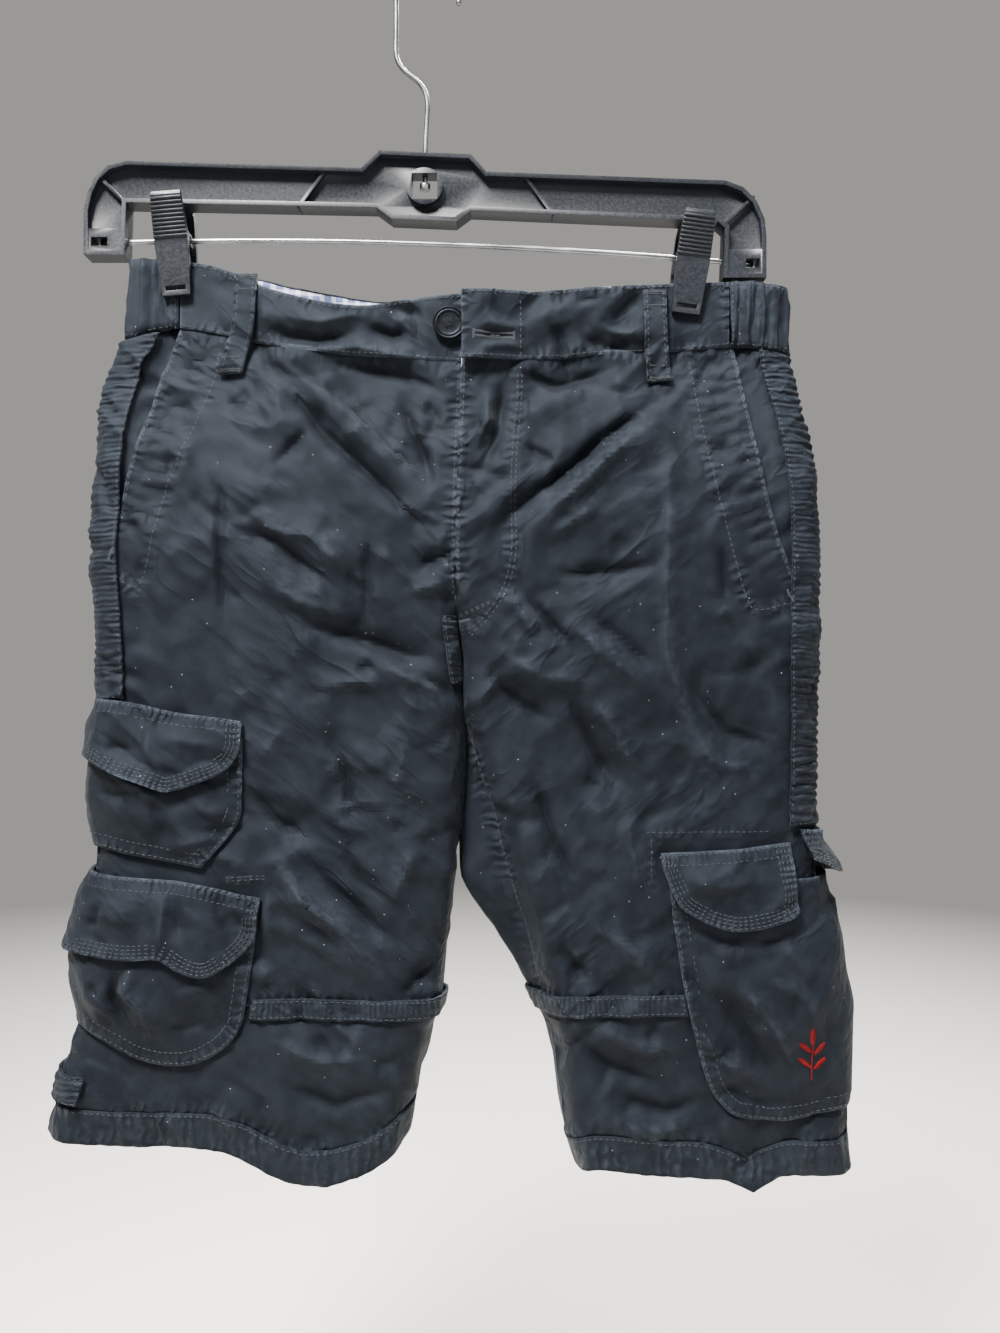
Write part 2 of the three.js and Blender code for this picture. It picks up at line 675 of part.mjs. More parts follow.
function outward(points, index) {
  let volume = 0;
  for (let i = 0; i < index.length; i += 3) {
    const [a, b, c] = [points[index[i]], points[index[i + 1]], points[index[i + 2]]];
    volume += a.dot(new THREE.Vector3().crossVectors(b, c));
  }
  if (volume < 0) index.reverse();
  const geometry = new THREE.BufferGeometry().setFromPoints(points);
  geometry.setIndex(index);
  geometry.computeVertexNormals();
  return geometry;
}

// Girths of the columns between two edges, close together round the folds and even on the flats
function columnGirths(from, to) {
  const lines = [];
  for (let side = -2; side <= 2; side += 1) {
    for (let k = -4; k <= 4; k += 1) lines.push(side + k * EDGE_STEP);
    for (let k = 1; k < FLAT_STEPS; k += 1) {
      lines.push(side + EDGE_SPAN + (k * (1 - 2 * EDGE_SPAN)) / FLAT_STEPS);
    }
  }
  const low = Math.min(from, to);
  const high = Math.max(from, to);
  const inside = lines.filter((u) => u > low + 0.012 && u < high - 0.012).sort((a, b) => a - b);
  const girths = [low, ...inside, high];
  return to > from ? girths : girths.reverse();
}

// Heights of the level rows between two heights
function rowsBetween(top, bottom) {
  const all = Array.from({ length: ROW_COUNT }, (_, i) => ROW_TOP + i * ROW_STEP);
  return [FIRST_ROW, ...all].filter((z) => z < top - 3 && z > bottom + 5);
}

// One cut piece of cloth on a half of the garment
function clothPiece(name, spec) {
  const half = HALVES[spec.half];
  const middleZ = spec.middle;
  const [first, last] = [spec.from(middleZ), spec.to(middleZ)];
  const girths = spec.girths ?? columnGirths(first, last);
  const columns = spec.ring ? girths.slice(0, -1) : girths;
  const pivot = spec.pivot ?? (first + last) / 2;
  const thick = spec.thick ?? CLOTH;
  const levels = spec.levels ?? [];
  const rows = spec.rows ?? levels.length + 1;
  const outer = [];
  const inner = [];
  // Only the columns between an edge and the pivot follow that edge
  const girthAt = (girth, z) => {
    const edge = (girth - pivot) * (first - pivot) > 0 ? [first, spec.from(z)] : [last, spec.to(z)];
    return pivot + ((girth - pivot) * (edge[1] - pivot)) / (edge[0] - pivot);
  };
  for (let r = 0; r <= rows; r += 1) {
    const outerRow = [];
    const innerRow = [];
    for (const girth of columns) {
      let z = middleZ;
      let u = 0;
      for (let turn = 0; turn < 9; turn += 1) {
        u = girthAt(girth, z);
        const folded = wrapped(u);
        const x = xAt(half, folded, z);
        const level = r > 0 && r < rows ? levels[r - 1] : undefined;
        z = level ?? mix(spec.top(x, folded), spec.bottom(x, folded), r / rows);
      }
      const point = skinAt(half, u, z);
      const normal = normalAt(half, u, z);
      const share = (girth - first) / (last - first);
      const level = spec.level ? spec.level(point.x, z, wrapped(u)) : 0;
      const raise = spec.raise ? spec.raise(point.x, z, share, r / rows) : 0;
      innerRow.push(point.clone().addScaledVector(normal, level - thick));
      outerRow.push(point.clone().addScaledVector(normal, level + raise));
    }
    outer.push(outerRow);
    inner.push(innerRow);
  }
  return add(name, wallGeometry(outer, inner, spec.ring), spec.finish ?? 'cloth');
}

const bandFrontTop = curveOf(BAND_FRONT_EDGES, 'x', 'top');
const bandFrontBottom = curveOf(BAND_FRONT_EDGES, 'x', 'bottom');
const bandBackTop = curveOf(BAND_BACK_EDGES, 'x', 'top');
const bandBackBottom = curveOf(BAND_BACK_EDGES, 'x', 'bottom');
const bandTop = (x, u) => (u >= 0 ? bandFrontTop(x) : bandBackTop(x));
const bandBottom = (x, u) => (u >= 0 ? bandFrontBottom(x) : bandBackBottom(x));
const underBand = (x, u) => bandBottom(x, u) - SEAM_GAP;

const knees = { right: curveOf(RIGHT_KNEE, 'x', 'z'), left: curveOf(LEFT_KNEE, 'x', 'z') };
const hems = {
  right: [curveOf(RIGHT_HEM, 'x', 'z'), curveOf(RIGHT_HEM_BACK, 'x', 'z')],
  left: [curveOf(LEFT_HEM, 'x', 'z'), curveOf(LEFT_HEM_BACK, 'x', 'z')],
};
const hemAt = (side) => (x, u) => {
  const back = hems[side][1](x);
  const front = hems[side][0](x);
  return u < 0 ? back : mix(back, front, smooth(u / 0.12) * smooth((1 - u) / 0.12));
};
const mouths = { right: curveOf(RIGHT_MOUTH, 'z', 'x'), left: curveOf(LEFT_MOUTH, 'z', 'x') };

// Half the seam gap as a share of the girth
const gapShare = (half, z) => SEAM_GAP / 2 / widthAt(half, z);

// Front edge of the pocket mouth, or the side seam below it
function frontStart(side, z) {
  const half = HALVES[side];
  const seam = SIDE_SEAM + gapShare(half, z);
  const slanted = uAtX(half, mouths[side](z), z);
  return Math.max(seam, mix(slanted, seam, smooth((MOUTH_END[side] - 2 - z) / 10)));
}

// Inner edge of the front: the centre line, then the inseam
function frontEnd(side, z) {
  if (z >= CROTCH_Z) return 1;
  if (side === 'right') return 1 + RIGHT_INSEAM_WRAP * smooth((CROTCH_Z - z) / 30);
  return leftInseam(z);
}

const turned = (side) => (side === 'right' ? 1 : -1);

function flyLevel(x, z) {
  const fromCentre = x - HALVES.left.inner(z);
  const down = smooth((z - FLY_BOTTOM_Z + 6) / 14);
  return FLY_LIFT * (1 - smooth((fromCentre - FLY_FLAT) / FLY_RAMP)) * down;
}

function mouthLevel(side, x, z) {
  const past = (x - mouths[side](z)) * turned(side);
  const along = smooth((z - MOUTH_END[side] - 40) / 20) * smooth((-206 - z) / 14);
  return MOUTH_LIFT * (1 - smooth(past / 16)) * along;
}

function frontPanels() {
  for (const side of ['right', 'left']) {
    clothPiece(`front_panel_${side}`, {
      half: side,
      from: (z) => frontStart(side, z),
      to: (z) => frontEnd(side, z) - (z >= CROTCH_Z ? 0 : gapShare(HALVES[side], z)),
      top: underBand,
      bottom: (x) => knees[side](x) + SEAM_GAP / 2,
      middle: -354,
      levels: rowsBetween(-213, -541),
      level: (x, z) => mouthLevel(side, x, z) + (side === 'left' ? flyLevel(x, z) : 0),
    });
  }
}

function backPanels() {
  for (const side of ['right', 'left']) {
    const half = HALVES[side];
    clothPiece(`back_panel_${side}`, {
      half: side,
      from: (z) => (z >= CROTCH_Z ? -1 : frontEnd(side, z) - 2 + gapShare(half, z)),
      to: (z) => SIDE_SEAM - gapShare(half, z),
      top: underBand,
      bottom: (x) => knees[side](x) + SEAM_GAP / 2,
      middle: side === 'left' ? -459 : -354,
      pivot: -0.85,
      levels: rowsBetween(-213, -541),
    });
  }
}

function lowerLegs() {
  for (const side of ['right', 'left']) {
    const half = HALVES[side];
    const hem = hemAt(side);
    const top = (x) => knees[side](x) - SEAM_GAP / 2;
    const bottom = (x, u) => hem(x, u) + HEM_HEIGHT + SEAM_GAP;
    clothPiece(`lower_leg_front_${side}`, {
      half: side,
      from: (z) => SIDE_SEAM + gapShare(half, z),
      to: (z) => frontEnd(side, z) - gapShare(half, z),
      top,
      bottom,
      middle: -575,
      rows: 4,
    });
    clothPiece(`lower_leg_back_${side}`, {
      half: side,
      from: (z) => frontEnd(side, z) - 2 + gapShare(half, z),
      to: (z) => SIDE_SEAM - gapShare(half, z),
      top,
      bottom,
      middle: -575,
      pivot: -0.5,
      rows: 4,
    });
    clothPiece(`hem_${side}`, {
      half: side,
      from: () => -1,
      to: () => 1,
      top: (x, u) => hem(x, u) + HEM_HEIGHT,
      bottom: hem,
      middle: -610,
      rows: 1,
      ring: true,
      level: () => 0.3,
    });
  }
}

function facingGirths(side) {
  const half = HALVES[side];
  const from = SIDE_SEAM + gapShare(half, FACING_MIDDLE);
  const to = uAtX(half, mouths[side](FACING_MIDDLE) + turned(side) * FACING_UNDER, FACING_MIDDLE);
  return Array.from({ length: FACING_COLUMNS + 1 }, (_, i) => mix(from, to, i / FACING_COLUMNS));
}

function hipPocketFacings() {
  for (const side of ['right', 'left']) {
    const half = HALVES[side];
    clothPiece(`hip_pocket_facing_${side}`, {
      half: side,
      from: (z) => SIDE_SEAM + gapShare(half, z),
      to: (z) => uAtX(half, mouths[side](z) + turned(side) * FACING_UNDER, z),
      girths: facingGirths(side),
      top: underBand,
      bottom: () => MOUTH_END[side] + 8,
      middle: FACING_MIDDLE,
      thick: FACING_CLOTH,
      levels: rowsBetween(-205, MOUTH_END[side] + 8),
      level: (x, z) => {
        const past = (x - mouths[side](z)) * turned(side);
        return -SEAM_GAP - FACING_SINK * smooth((past + FACING_STEP + 3) / FACING_STEP);
      },
    });
  }
}

function bandEndLevel(x) {
  const fromEnd = x - HALVES.left.inner(-190);
  return BAND_LEVEL + BAND_END_LIFT * (1 - smooth((fromEnd - BAND_END_FLAT) / BAND_END_RAMP));
}

function gatherRaise(x, z, share) {
  const fade = Math.min(share, 1 - share) > 0.02 ? 1 : 0;
  return GATHER_DEPTH * fade * (0.5 - 0.5 * Math.cos(share * gatherTurns * 2 * Math.PI));
}
const gatherTurns = Math.round((30 + 28 + GATHER_BACK_REACH) / GATHER_PITCH);

function waistband() {
  const right = HALVES.right;
  const left = HALVES.left;
  const gap = (half) => SEAM_GAP / widthAt(half, -185);
  clothPiece('waistband_front_right', {
    half: 'right',
    from: (z) => uAtX(right, GATHER_FROM.right, z) + gap(right),
    to: () => 1,
    top: bandTop,
    bottom: bandBottom,
    middle: -190,
    rows: 3,
    thick: BAND_CLOTH,
    level: () => BAND_LEVEL,
  });
  clothPiece('waistband_front_left', {
    half: 'left',
    from: () => 1,
    to: (z) => uAtX(left, GATHER_FROM.left, z) + gap(left),
    top: bandTop,
    bottom: bandBottom,
    middle: -190,
    rows: 3,
    thick: BAND_CLOTH,
    level: bandEndLevel,
  });
  for (const side of ['right', 'left']) {
    const half = HALVES[side];
    const frontU = uAtX(half, GATHER_FROM[side], -185);
    const backU = -uAtX(half, half.side(-185) + turned(side) * GATHER_BACK_REACH, -185);
    const steps = gatherTurns * 3;
    clothPiece(`waistband_side_${side}`, {
      half: side,
      from: () => backU,
      to: () => frontU,
      top: bandTop,
      bottom: bandBottom,
      middle: -185,
      rows: 1,
      thick: BAND_CLOTH,
      girths: Array.from({ length: steps + 1 }, (_, i) => mix(backU, frontU, i / steps)),
      level: () => BAND_LEVEL,
      raise: gatherRaise,
    });
    clothPiece(`waistband_back_${side}`, {
      half: side,
      from: () => -1,
      to: () => backU - gap(half),
      top: bandTop,
      bottom: bandBottom,
      middle: -185,
      rows: 3,
      thick: BAND_CLOTH,
      level: () => BAND_LEVEL,
    });
    clothPiece(`waistband_facing_${side}`, {
      half: side,
      from: () => -1,
      to: () => backU,
      top: (x, u) => bandTop(x, u) - 1.5,
      bottom: (x, u) => bandBottom(x, u) + 1,
      middle: -185,
      rows: 2,
      thick: 1,
      level: () => BAND_LEVEL - BAND_CLOTH - SEAM_GAP,
      finish: 'facing',
    });
  }
}

function flyShield() {
  clothPiece('fly_shield', {
    half: 'left',
    from: () => 1,
    to: () => SHIELD_END,
    top: (x) => bandFrontTop(x) - 2,
    bottom: () => SHIELD_BOTTOM,
    middle: -260,
    levels: [-200, ...rowsBetween(-213, SHIELD_BOTTOM)],
    level: () => 0,
  });
}

// Narrow felled bands laid over the seams
function seamBands() {
  const rise = { half: 'right', thick: TAPE_CLOTH, level: () => TAPE_CLOTH + LAY_GAP };
  clothPiece('rise_seam_band', {
    ...rise,
    from: () => RISE_BAND,
    to: () => RISE_BAND_END,
    top: () => FLY_BOTTOM_Z,
    bottom: () => CROTCH_Z + RISE_BAND_FOOT,
    middle: -365,
    levels: rowsBetween(FLY_BOTTOM_Z, CROTCH_Z + RISE_BAND_FOOT),
  });
  clothPiece('seat_seam_band', {
    ...rise,
    from: () => -RISE_BAND_END,
    to: () => -RISE_BAND,
    top: (x) => bandBackBottom(x) - 1,
    bottom: () => CROTCH_Z + RISE_BAND_FOOT,
    middle: -300,
    levels: rowsBetween(-212, CROTCH_Z + RISE_BAND_FOOT),
  });
  const sideBand = (name, half, top, bottom) => clothPiece(name, {
    half,
    from: () => BAND_BACK,
    to: () => BAND_FRONT,
    top,
    bottom: () => bottom,
    middle: -320,
    levels: rowsBetween(top(HALVES[half].side(-200)), bottom),
    thick: TAPE_CLOTH,
    level: () => TAPE_CLOTH + LAY_GAP,
  });
  sideBand('side_seam_band_right', 'right', (x) => bandFrontBottom(x) - 1, -383);
  sideBand('side_seam_band_left', 'left', (x) => bandFrontBottom(x) - 1, -447);
  sideBand('side_seam_band_lower', 'right', () => -576, -589.5);
}

// Gathered band over each knee seam, from the pocket round the inner edge to the pocket's back
function kneeBands() {
  const spans = { right: [94, -75], left: [84, -71] };
  for (const side of ['right', 'left']) {
    const half = HALVES[side];
    const knee = knees[side];
    clothPiece(`knee_seam_band_${side}`, {
      half: side,
      from: (z) => uAcross(half, spans[side][0], z),
      to: (z) => 2 + uAcross(half, spans[side][1], z),
      pivot: 1,
      top: (x) => knee(x) + KNEE_BAND * 0.35,
      bottom: (x) => knee(x) - KNEE_BAND * 0.65,
      middle: -541,
      rows: 2,
      thick: TAPE_CLOTH,
      level: () => TAPE_CLOTH + KNEE_GAP,
      raise: (x, z, share, down) => (down > 0.2 && down < 0.8 ? 0.5 : 0),
    });
  }
}

// How far a pocket's outer face stands off the leg
function pocketLevel(pocket, across, z) {
  const rows = pocket.outline;
  const top = lineOf(rows, 'across', 'top')(across);
  const bottom = lineOf(rows, 'across', 'bottom')(across);
  const first = rows[0].across;
  const last = rows[rows.length - 1].across;
  const share = clamp((across - first) / (last - first));
  const down = clamp((z - top) / (bottom - top));
  const sides = smooth(Math.min(share, 1 - share) / 0.24);
  const depth = mix(POCKET_MOUTH_SHARE, 1, smooth(down / 0.55)) * smooth((1 - down) / 0.4);
  return CLOTH + POCKET_GAP + pocket.bulge * sides * depth;
}

function tablePiece(name, side, rows, spec) {
  const half = HALVES[side];
  const first = rows[0].across;
  const last = rows[rows.length - 1].across;
  const top = lineOf(rows, 'across', 'top');
  const bottom = lineOf(rows, 'across', 'bottom');
  const byTable = (line) => (x, u) => line((u >= 0 ? 1 : -1) * Math.abs(x - half.side(spec.middle)));
  const marks = (spec.marks ?? rows).map((row) => row.across).filter((a) => a >= first && a <= last);
  const even = columnGirths(uAcross(half, first, spec.middle), uAcross(half, last, spec.middle));
  const marked = [first, ...marks, last].map((across) => uAcross(half, across, spec.middle));
  const kept = even.filter((girth) => marked.every((mark) => Math.abs(mark - girth) > 0.016));
  const girths = [...new Set([...marked, ...kept])].sort((a, b) => a - b);
  return clothPiece(name, {
    half: side,
    from: (z) => uAcross(half, first, z),
    to: (z) => uAcross(half, last, z),
    top: byTable(top),
    bottom: byTable(bottom),
    girths,
    pivot: 0,
    ...spec,
  });
}

function legPocket(name, side, pocket, middle) {
  const half = HALVES[side];
  tablePiece(`${name}_body`, side, pocket.outline, {
    middle,
    rows: 5,
    level: (x, z, u) => pocketLevel(pocket, acrossAt(half, u, z), z),
  });
}

function flap(name, side, pocket, rows, middle, flare = 0) {
  const half = HALVES[side];
  const top = lineOf(rows, 'across', 'top');
  const bottom = lineOf(rows, 'across', 'bottom');
  const pocketTop = lineOf(pocket.outline, 'across', 'top');
  tablePiece(name, side, rows, {
    middle,
    rows: 4,
    thick: FLAP_CLOTH,
    level: (x, z, u) => {
      const across = acrossAt(half, u, z);
      const sewn = FLAP_CLOTH + POCKET_GAP;
      const over = pocketLevel(pocket, across, Math.min(z, pocketTop(across))) + FLAP_OVER + FLAP_CLOTH;
      const start = top(across);
      const ramp = smooth((start - z) / (start - pocketTop(across) - 2));
      const out = flare * smooth((start - z) / (start - bottom(across)));
      return mix(sewn, over, ramp) + out;
    },
  });
}

function legPockets() {
  legPocket('right_upper_pocket', 'right', RIGHT_UPPER_POCKET, -430);
  flap('right_upper_flap', 'right', RIGHT_UPPER_POCKET, RIGHT_UPPER_POCKET.flap, -410);
  legPocket('right_lower_pocket', 'right', RIGHT_LOWER_POCKET, -530);
  flap('right_lower_flap', 'right', RIGHT_LOWER_POCKET, RIGHT_LOWER_POCKET.flap, -500);
  legPocket('left_pocket', 'left', LEFT_POCKET, -540);
  flap('left_flap_front', 'left', LEFT_POCKET, LEFT_POCKET.flap, -480);
  flap('left_flap_rear', 'left', LEFT_POCKET, LEFT_POCKET.rearFlap, -475, LEFT_POCKET.rearFlare);
}

function beltLoops() {
  for (const loop of BELT_LOOPS) {
    const half = HALVES[loop.half];
    const middle = (loop.top + loop.bottom) / 2;
    const low = uAtX(half, loop.x - (turned(loop.half) * LOOP_WIDTH) / 2, middle);
    const high = uAtX(half, loop.x + (turned(loop.half) * LOOP_WIDTH) / 2, middle);
    clothPiece(loop.name, {
      half: loop.half,
      from: () => loop.face * low,
      to: () => loop.face * high,
      top: () => loop.top,
      bottom: () => loop.bottom,
      middle,
      rows: 5,
      level: (x, z) => {
        const share = (loop.top - z) / (loop.top - loop.bottom);
        const stand = LOOP_STAND * Math.sin(Math.PI * clamp(share));
        return BAND_LEVEL + LAY_GAP + CLOTH + stand;
      },
    });
  }
}

// A lathed disc with a shank, turned to face the front
function button() {
  const { radius, thick, shank } = BUTTON;
  const rim = [
    new THREE.Vector2(0, 0),
    new THREE.Vector2(shank, 0),
    new THREE.Vector2(shank, 1.1),
    new THREE.Vector2(radius - 0.5, 1.1),
    new THREE.Vector2(radius, 1.7),
    new THREE.Vector2(radius - 0.1, thick + 0.5),
    new THREE.Vector2(radius - 0.9, thick + 1),
    new THREE.Vector2(radius - 2, thick + 0.7),
    new THREE.Vector2(radius - 2.6, thick + 0.2),
    new THREE.Vector2(0, thick + 0.4),
  ];
  const geometry = mergeVertices(barePosition(new THREE.LatheGeometry(rim, 16)));
  const u = uAtX(HALVES.right, BUTTON.x, BUTTON.z);
  const seat = skinAt(HALVES.right, u, BUTTON.z);
  const normal = normalAt(HALVES.right, u, BUTTON.z);
  const mesh = add('button', geometry, 'gunmetal');
  mesh.quaternion.setFromUnitVectors(new THREE.Vector3(0, 1, 0), normal);
  mesh.position.copy(seat).addScaledVector(normal, BAND_LEVEL + SEAM_GAP);
}

function barePosition(geometry) {
  geometry.deleteAttribute('uv');
  geometry.deleteAttribute('normal');
  return geometry;
}

function solidOf(geometry) {
  const merged = mergeVertices(barePosition(geometry.clone()), 1e-4);
  const vertProperties = new Float32Array(merged.attributes.position.array);
  const triVerts = new Uint32Array(merged.index.array);
  return new wasm.Manifold(new wasm.Mesh({ numProp: 3, vertProperties, triVerts }));
}

function geometryOf(solid) {
  const mesh = solid.getMesh();
  const geometry = new THREE.BufferGeometry();
  geometry.setAttribute('position', new THREE.Float32BufferAttribute(mesh.vertProperties, 3));
  geometry.setIndex(Array.from(mesh.triVerts));
  geometry.computeVertexNormals();
  return geometry;
}

// Outline in X and Z, extruded through the depth and centred on the hanger's plane
function slab(points, depth) {
  const shape = new THREE.Shape(points.map((p) => new THREE.Vector2(p.x, p.z)));
  const geometry = new THREE.ExtrudeGeometry(shape, { depth, bevelEnabled: false });
  return geometry.translate(0, 0, -depth / 2).rotateX(Math.PI / 2);
}

function boxBetween(a, b) {
  const size = b.clone().sub(a);
  const middle = a.clone().add(b).multiplyScalar(0.5);
  return new THREE.BoxGeometry(size.x, size.y, size.z).translate(middle.x, middle.y, middle.z);
}

// The outline moved in by a rim's width, each corner along its two edges
function insetOutline(points, inset) {
  const count = points.length;
  return points.map((point, i) => {
    const before = points[(i + count - 1) % count];
    const after = points[(i + 1) % count];
    const a = new THREE.Vector2(point.x - before.x, point.z - before.z).normalize();
    const b = new THREE.Vector2(after.x - point.x, after.z - point.z).normalize();
    const inA = new THREE.Vector2(a.y, -a.x);
    const inB = new THREE.Vector2(b.y, -b.x);
    const across = inA.clone().add(inB).normalize();
    const reach = inset / Math.max(across.dot(inA), 0.4);
    return { x: point.x + across.x * reach, z: point.z + across.y * reach };
  });
}

function ribSolid(rib, width, depth) {
  const length = Math.hypot(rib.x2 - rib.x1, rib.z2 - rib.z1);
  const geometry = new THREE.BoxGeometry(length, depth, width);
  geometry.rotateY(-Math.atan2(rib.z2 - rib.z1, rib.x2 - rib.x1));
  geometry.translate((rib.x1 + rib.x2) / 2, 0, (rib.z1 + rib.z2) / 2);
  return solidOf(geometry);
}

function rodCurve() {
  return new THREE.CatmullRomCurve3(ROD_POINTS.map((p) => new THREE.Vector3(p.x, 0, p.z)));
}

function roundShape(diameter, sides) {
  const shape = new THREE.Shape();
  const radius = diameter / 2;
  for (let i = 0; i < sides; i += 1) {
    const angle = (2 * Math.PI * (i + 0.5)) / sides;
    const place = [radius * Math.cos(angle), radius * Math.sin(angle)];
    if (i === 0) shape.moveTo(...place);
    else shape.lineTo(...place);
  }
  shape.closePath();
  return shape;
}

function tube(curve, diameter, sides, steps) {
  const options = { steps, bevelEnabled: false, extrudePath: curve };
  return new THREE.ExtrudeGeometry(roundShape(diameter, sides), options);
}

function hangerBody() {
  const inside = insetOutline(HANGER_OUTLINE, HANGER_RIM);
  const recess = solidOf(slab(inside, HANGER_DEPTH + 2));
  const web = solidOf(slab(insetOutline(HANGER_OUTLINE, HANGER_RIM / 2), HANGER_WEB));
  let body = solidOf(slab(HANGER_OUTLINE, HANGER_DEPTH)).subtract(recess).add(web);
  for (const rib of HANGER_RIBS) body = body.add(ribSolid(rib, RIB_WIDTH, HANGER_DEPTH - 3));
  const bossDepth = HANGER_DEPTH - 2;
  const boss = new THREE.CylinderGeometry(BOSS_RADIUS, BOSS_RADIUS, bossDepth, 24);
  body = body.add(solidOf(boss.translate(WINDOW.x, 0, WINDOW.z)));
  for (const block of END_BLOCKS) {
    const low = new THREE.Vector3(block.x1 + 0.5, -HANGER_DEPTH / 2 + 0.5, block.z1 + 0.5);
    const high = new THREE.Vector3(block.x2 - 0.5, HANGER_DEPTH / 2 - 0.5, block.z2);
    body = body.add(solidOf(boxBetween(low, high)));
    const { x1, x2, z1, z2 } = block.window;
    const through = HANGER_DEPTH;
    const cut = boxBetween(new THREE.Vector3(x1, -through, z1), new THREE.Vector3(x2, through, z2));
    body = body.subtract(solidOf(cut));
  }
  const half = { x: WINDOW.width / 2, z: WINDOW.height / 2 };
  body = body.subtract(solidOf(boxBetween(
    new THREE.Vector3(WINDOW.x - half.x, -HANGER_DEPTH, WINDOW.z - half.z),
    new THREE.Vector3(WINDOW.x + half.x, HANGER_DEPTH, WINDOW.z + half.z),
  )));
  const wayRadius = WIRE / 2 + WIRE_PLAY;
  const wireWay = new THREE.CylinderGeometry(wayRadius, wayRadius, 40, 16);
  body = body.subtract(solidOf(wireWay.rotateX(Math.PI / 2).translate(WINDOW.x, 0, WINDOW.z + 22)));
  body = body.subtract(solidOf(tube(rodCurve(), ROD + 2 * WIRE_PLAY, 10, 14)));
  add('hanger_body', geometryOf(body), 'plastic');
}

// Hook wire: up from its foot, two bends, a straight rise and the open arch
function hangerHook() {
  const up = [
    [WINDOW.x, WIRE_FOOT_Z + 2],
    [WINDOW.x + 0.2, -97.6],
    [WINDOW.x + 0.9, -83.9],
    [WINDOW.x + 1.2, -72],
    [-3.4, -64.2],
    [-8.4, -60.2],
    [-14, -55.6],
    [-16.7, -50],
    [HOOK_X - HOOK_RADIUS - 0.1, -39.3],
    [HOOK_X - HOOK_RADIUS, -26],
  ];
  const points = up.map(([x, z]) => new THREE.Vector3(x, 0, z));
  const centreZ = -HOOK_RADIUS - WIRE / 2 + WIRE;
  for (let i = 0; i <= 9; i += 1) {
    const angle = Math.PI - (i * (Math.PI * 1.12)) / 9;
    const x = HOOK_X + HOOK_RADIUS * Math.cos(angle);
    points.push(new THREE.Vector3(x, 0, centreZ + HOOK_RADIUS * Math.sin(angle)));
  }
  const curve = new THREE.CatmullRomCurve3(points, false, 'centripetal');
  const wire = solidOf(tube(curve, WIRE, 8, 38));
  const foot = new THREE.CylinderGeometry(2.7, 2.7, 2.6, 14).rotateX(Math.PI / 2);
  const hook = wire.add(solidOf(foot.translate(WINDOW.x, 0, WIRE_FOOT_Z + 3.4)));
  add('hanger_hook', geometryOf(hook), 'steel');
}

function hangerRod() {
  add('hanger_rod', tube(rodCurve(), ROD, 8, 14), 'steel');
}

// Side profile of a jaw in Y and Z: the lever above the rod, the grip below it, ridges on the lever
function jawProfile() {
  const back = [
    [-CLIP_GRIP, CLIP_BOTTOM],
    [-CLIP_GRIP, CLIP_BOTTOM + 17],
    [-6.6, -6],
    [-6.9, 4],
    [-10.6, CLIP_TOP],
  ];
  const front = [[-12.6, CLIP_TOP], [-13.2, CLIP_TOP - 2]];
  const low = { y: -9.6, z: -2 };
  const high = { y: -12.9, z: CLIP_TOP - 3 };
  for (let i = 0; i < CLIP_RIDGES; i += 1) {
    for (const [share, out] of [[0.05, 0], [0.2, 0.8], [0.6, 0.8], [0.75, 0]]) {
      const t = (i + share) / CLIP_RIDGES;
      front.push([mix(high.y, low.y, t) - out, mix(high.z, low.z, t)]);
    }
  }
  front.push([-9.4, -6], [-8.2, CLIP_BOTTOM + 12], [-7.6, CLIP_BOTTOM]);
  return [...back, ...front];
}

// Front outline of a jaw in X and Z, a little narrower at its foot
function jawOutline() {
  const half = CLIP_WIDTH / 2;
  return [
    { x: -half + 0.9, z: CLIP_TOP + 1 },
    { x: half - 0.9, z: CLIP_TOP + 1 },
    { x: half, z: CLIP_TOP - 7 },
    { x: half + 0.4, z: -4 },
    { x: half - 1, z: CLIP_BOTTOM - 1 },
    { x: -half + 1, z: CLIP_BOTTOM - 1 },
    { x: -half - 0.4, z: -4 },
    { x: -half, z: CLIP_TOP - 7 },
  ];
}

function jawSolid(earAt, slotted) {
  const shape = new THREE.Shape(jawProfile().map(([y, z]) => new THREE.Vector2(y, z)));
  const width = CLIP_WIDTH + 4;
  const plate = new THREE.ExtrudeGeometry(shape, { depth: width, bevelEnabled: false });
  plate.rotateX(Math.PI / 2).rotateZ(Math.PI / 2);
  plate.translate(-width / 2, 0, 0);
  let jaw = solidOf(plate).intersect(solidOf(slab(jawOutline(), 60)));
  for (const x of [-earAt, earAt]) {
    const low = new THREE.Vector3(x - 0.7, -7.6, -3.6);
    const high = new THREE.Vector3(x + 0.7, 3.2, 3.6);
    jaw = jaw.add(solidOf(boxBetween(low, high)));
  }
  const bore = new THREE.CylinderGeometry(ROD_BORE, ROD_BORE, width, 12).rotateZ(Math.PI / 2);
  jaw = jaw.subtract(solidOf(bore));
  if (slotted) {
    const low = new THREE.Vector3(-5.2, -12, CLIP_BOTTOM + 2.6);
    const high = new THREE.Vector3(5.2, -6.2, CLIP_BOTTOM + 5);
    jaw = jaw.subtract(solidOf(boxBetween(low, high)));
  }
  return geometryOf(jaw);
}

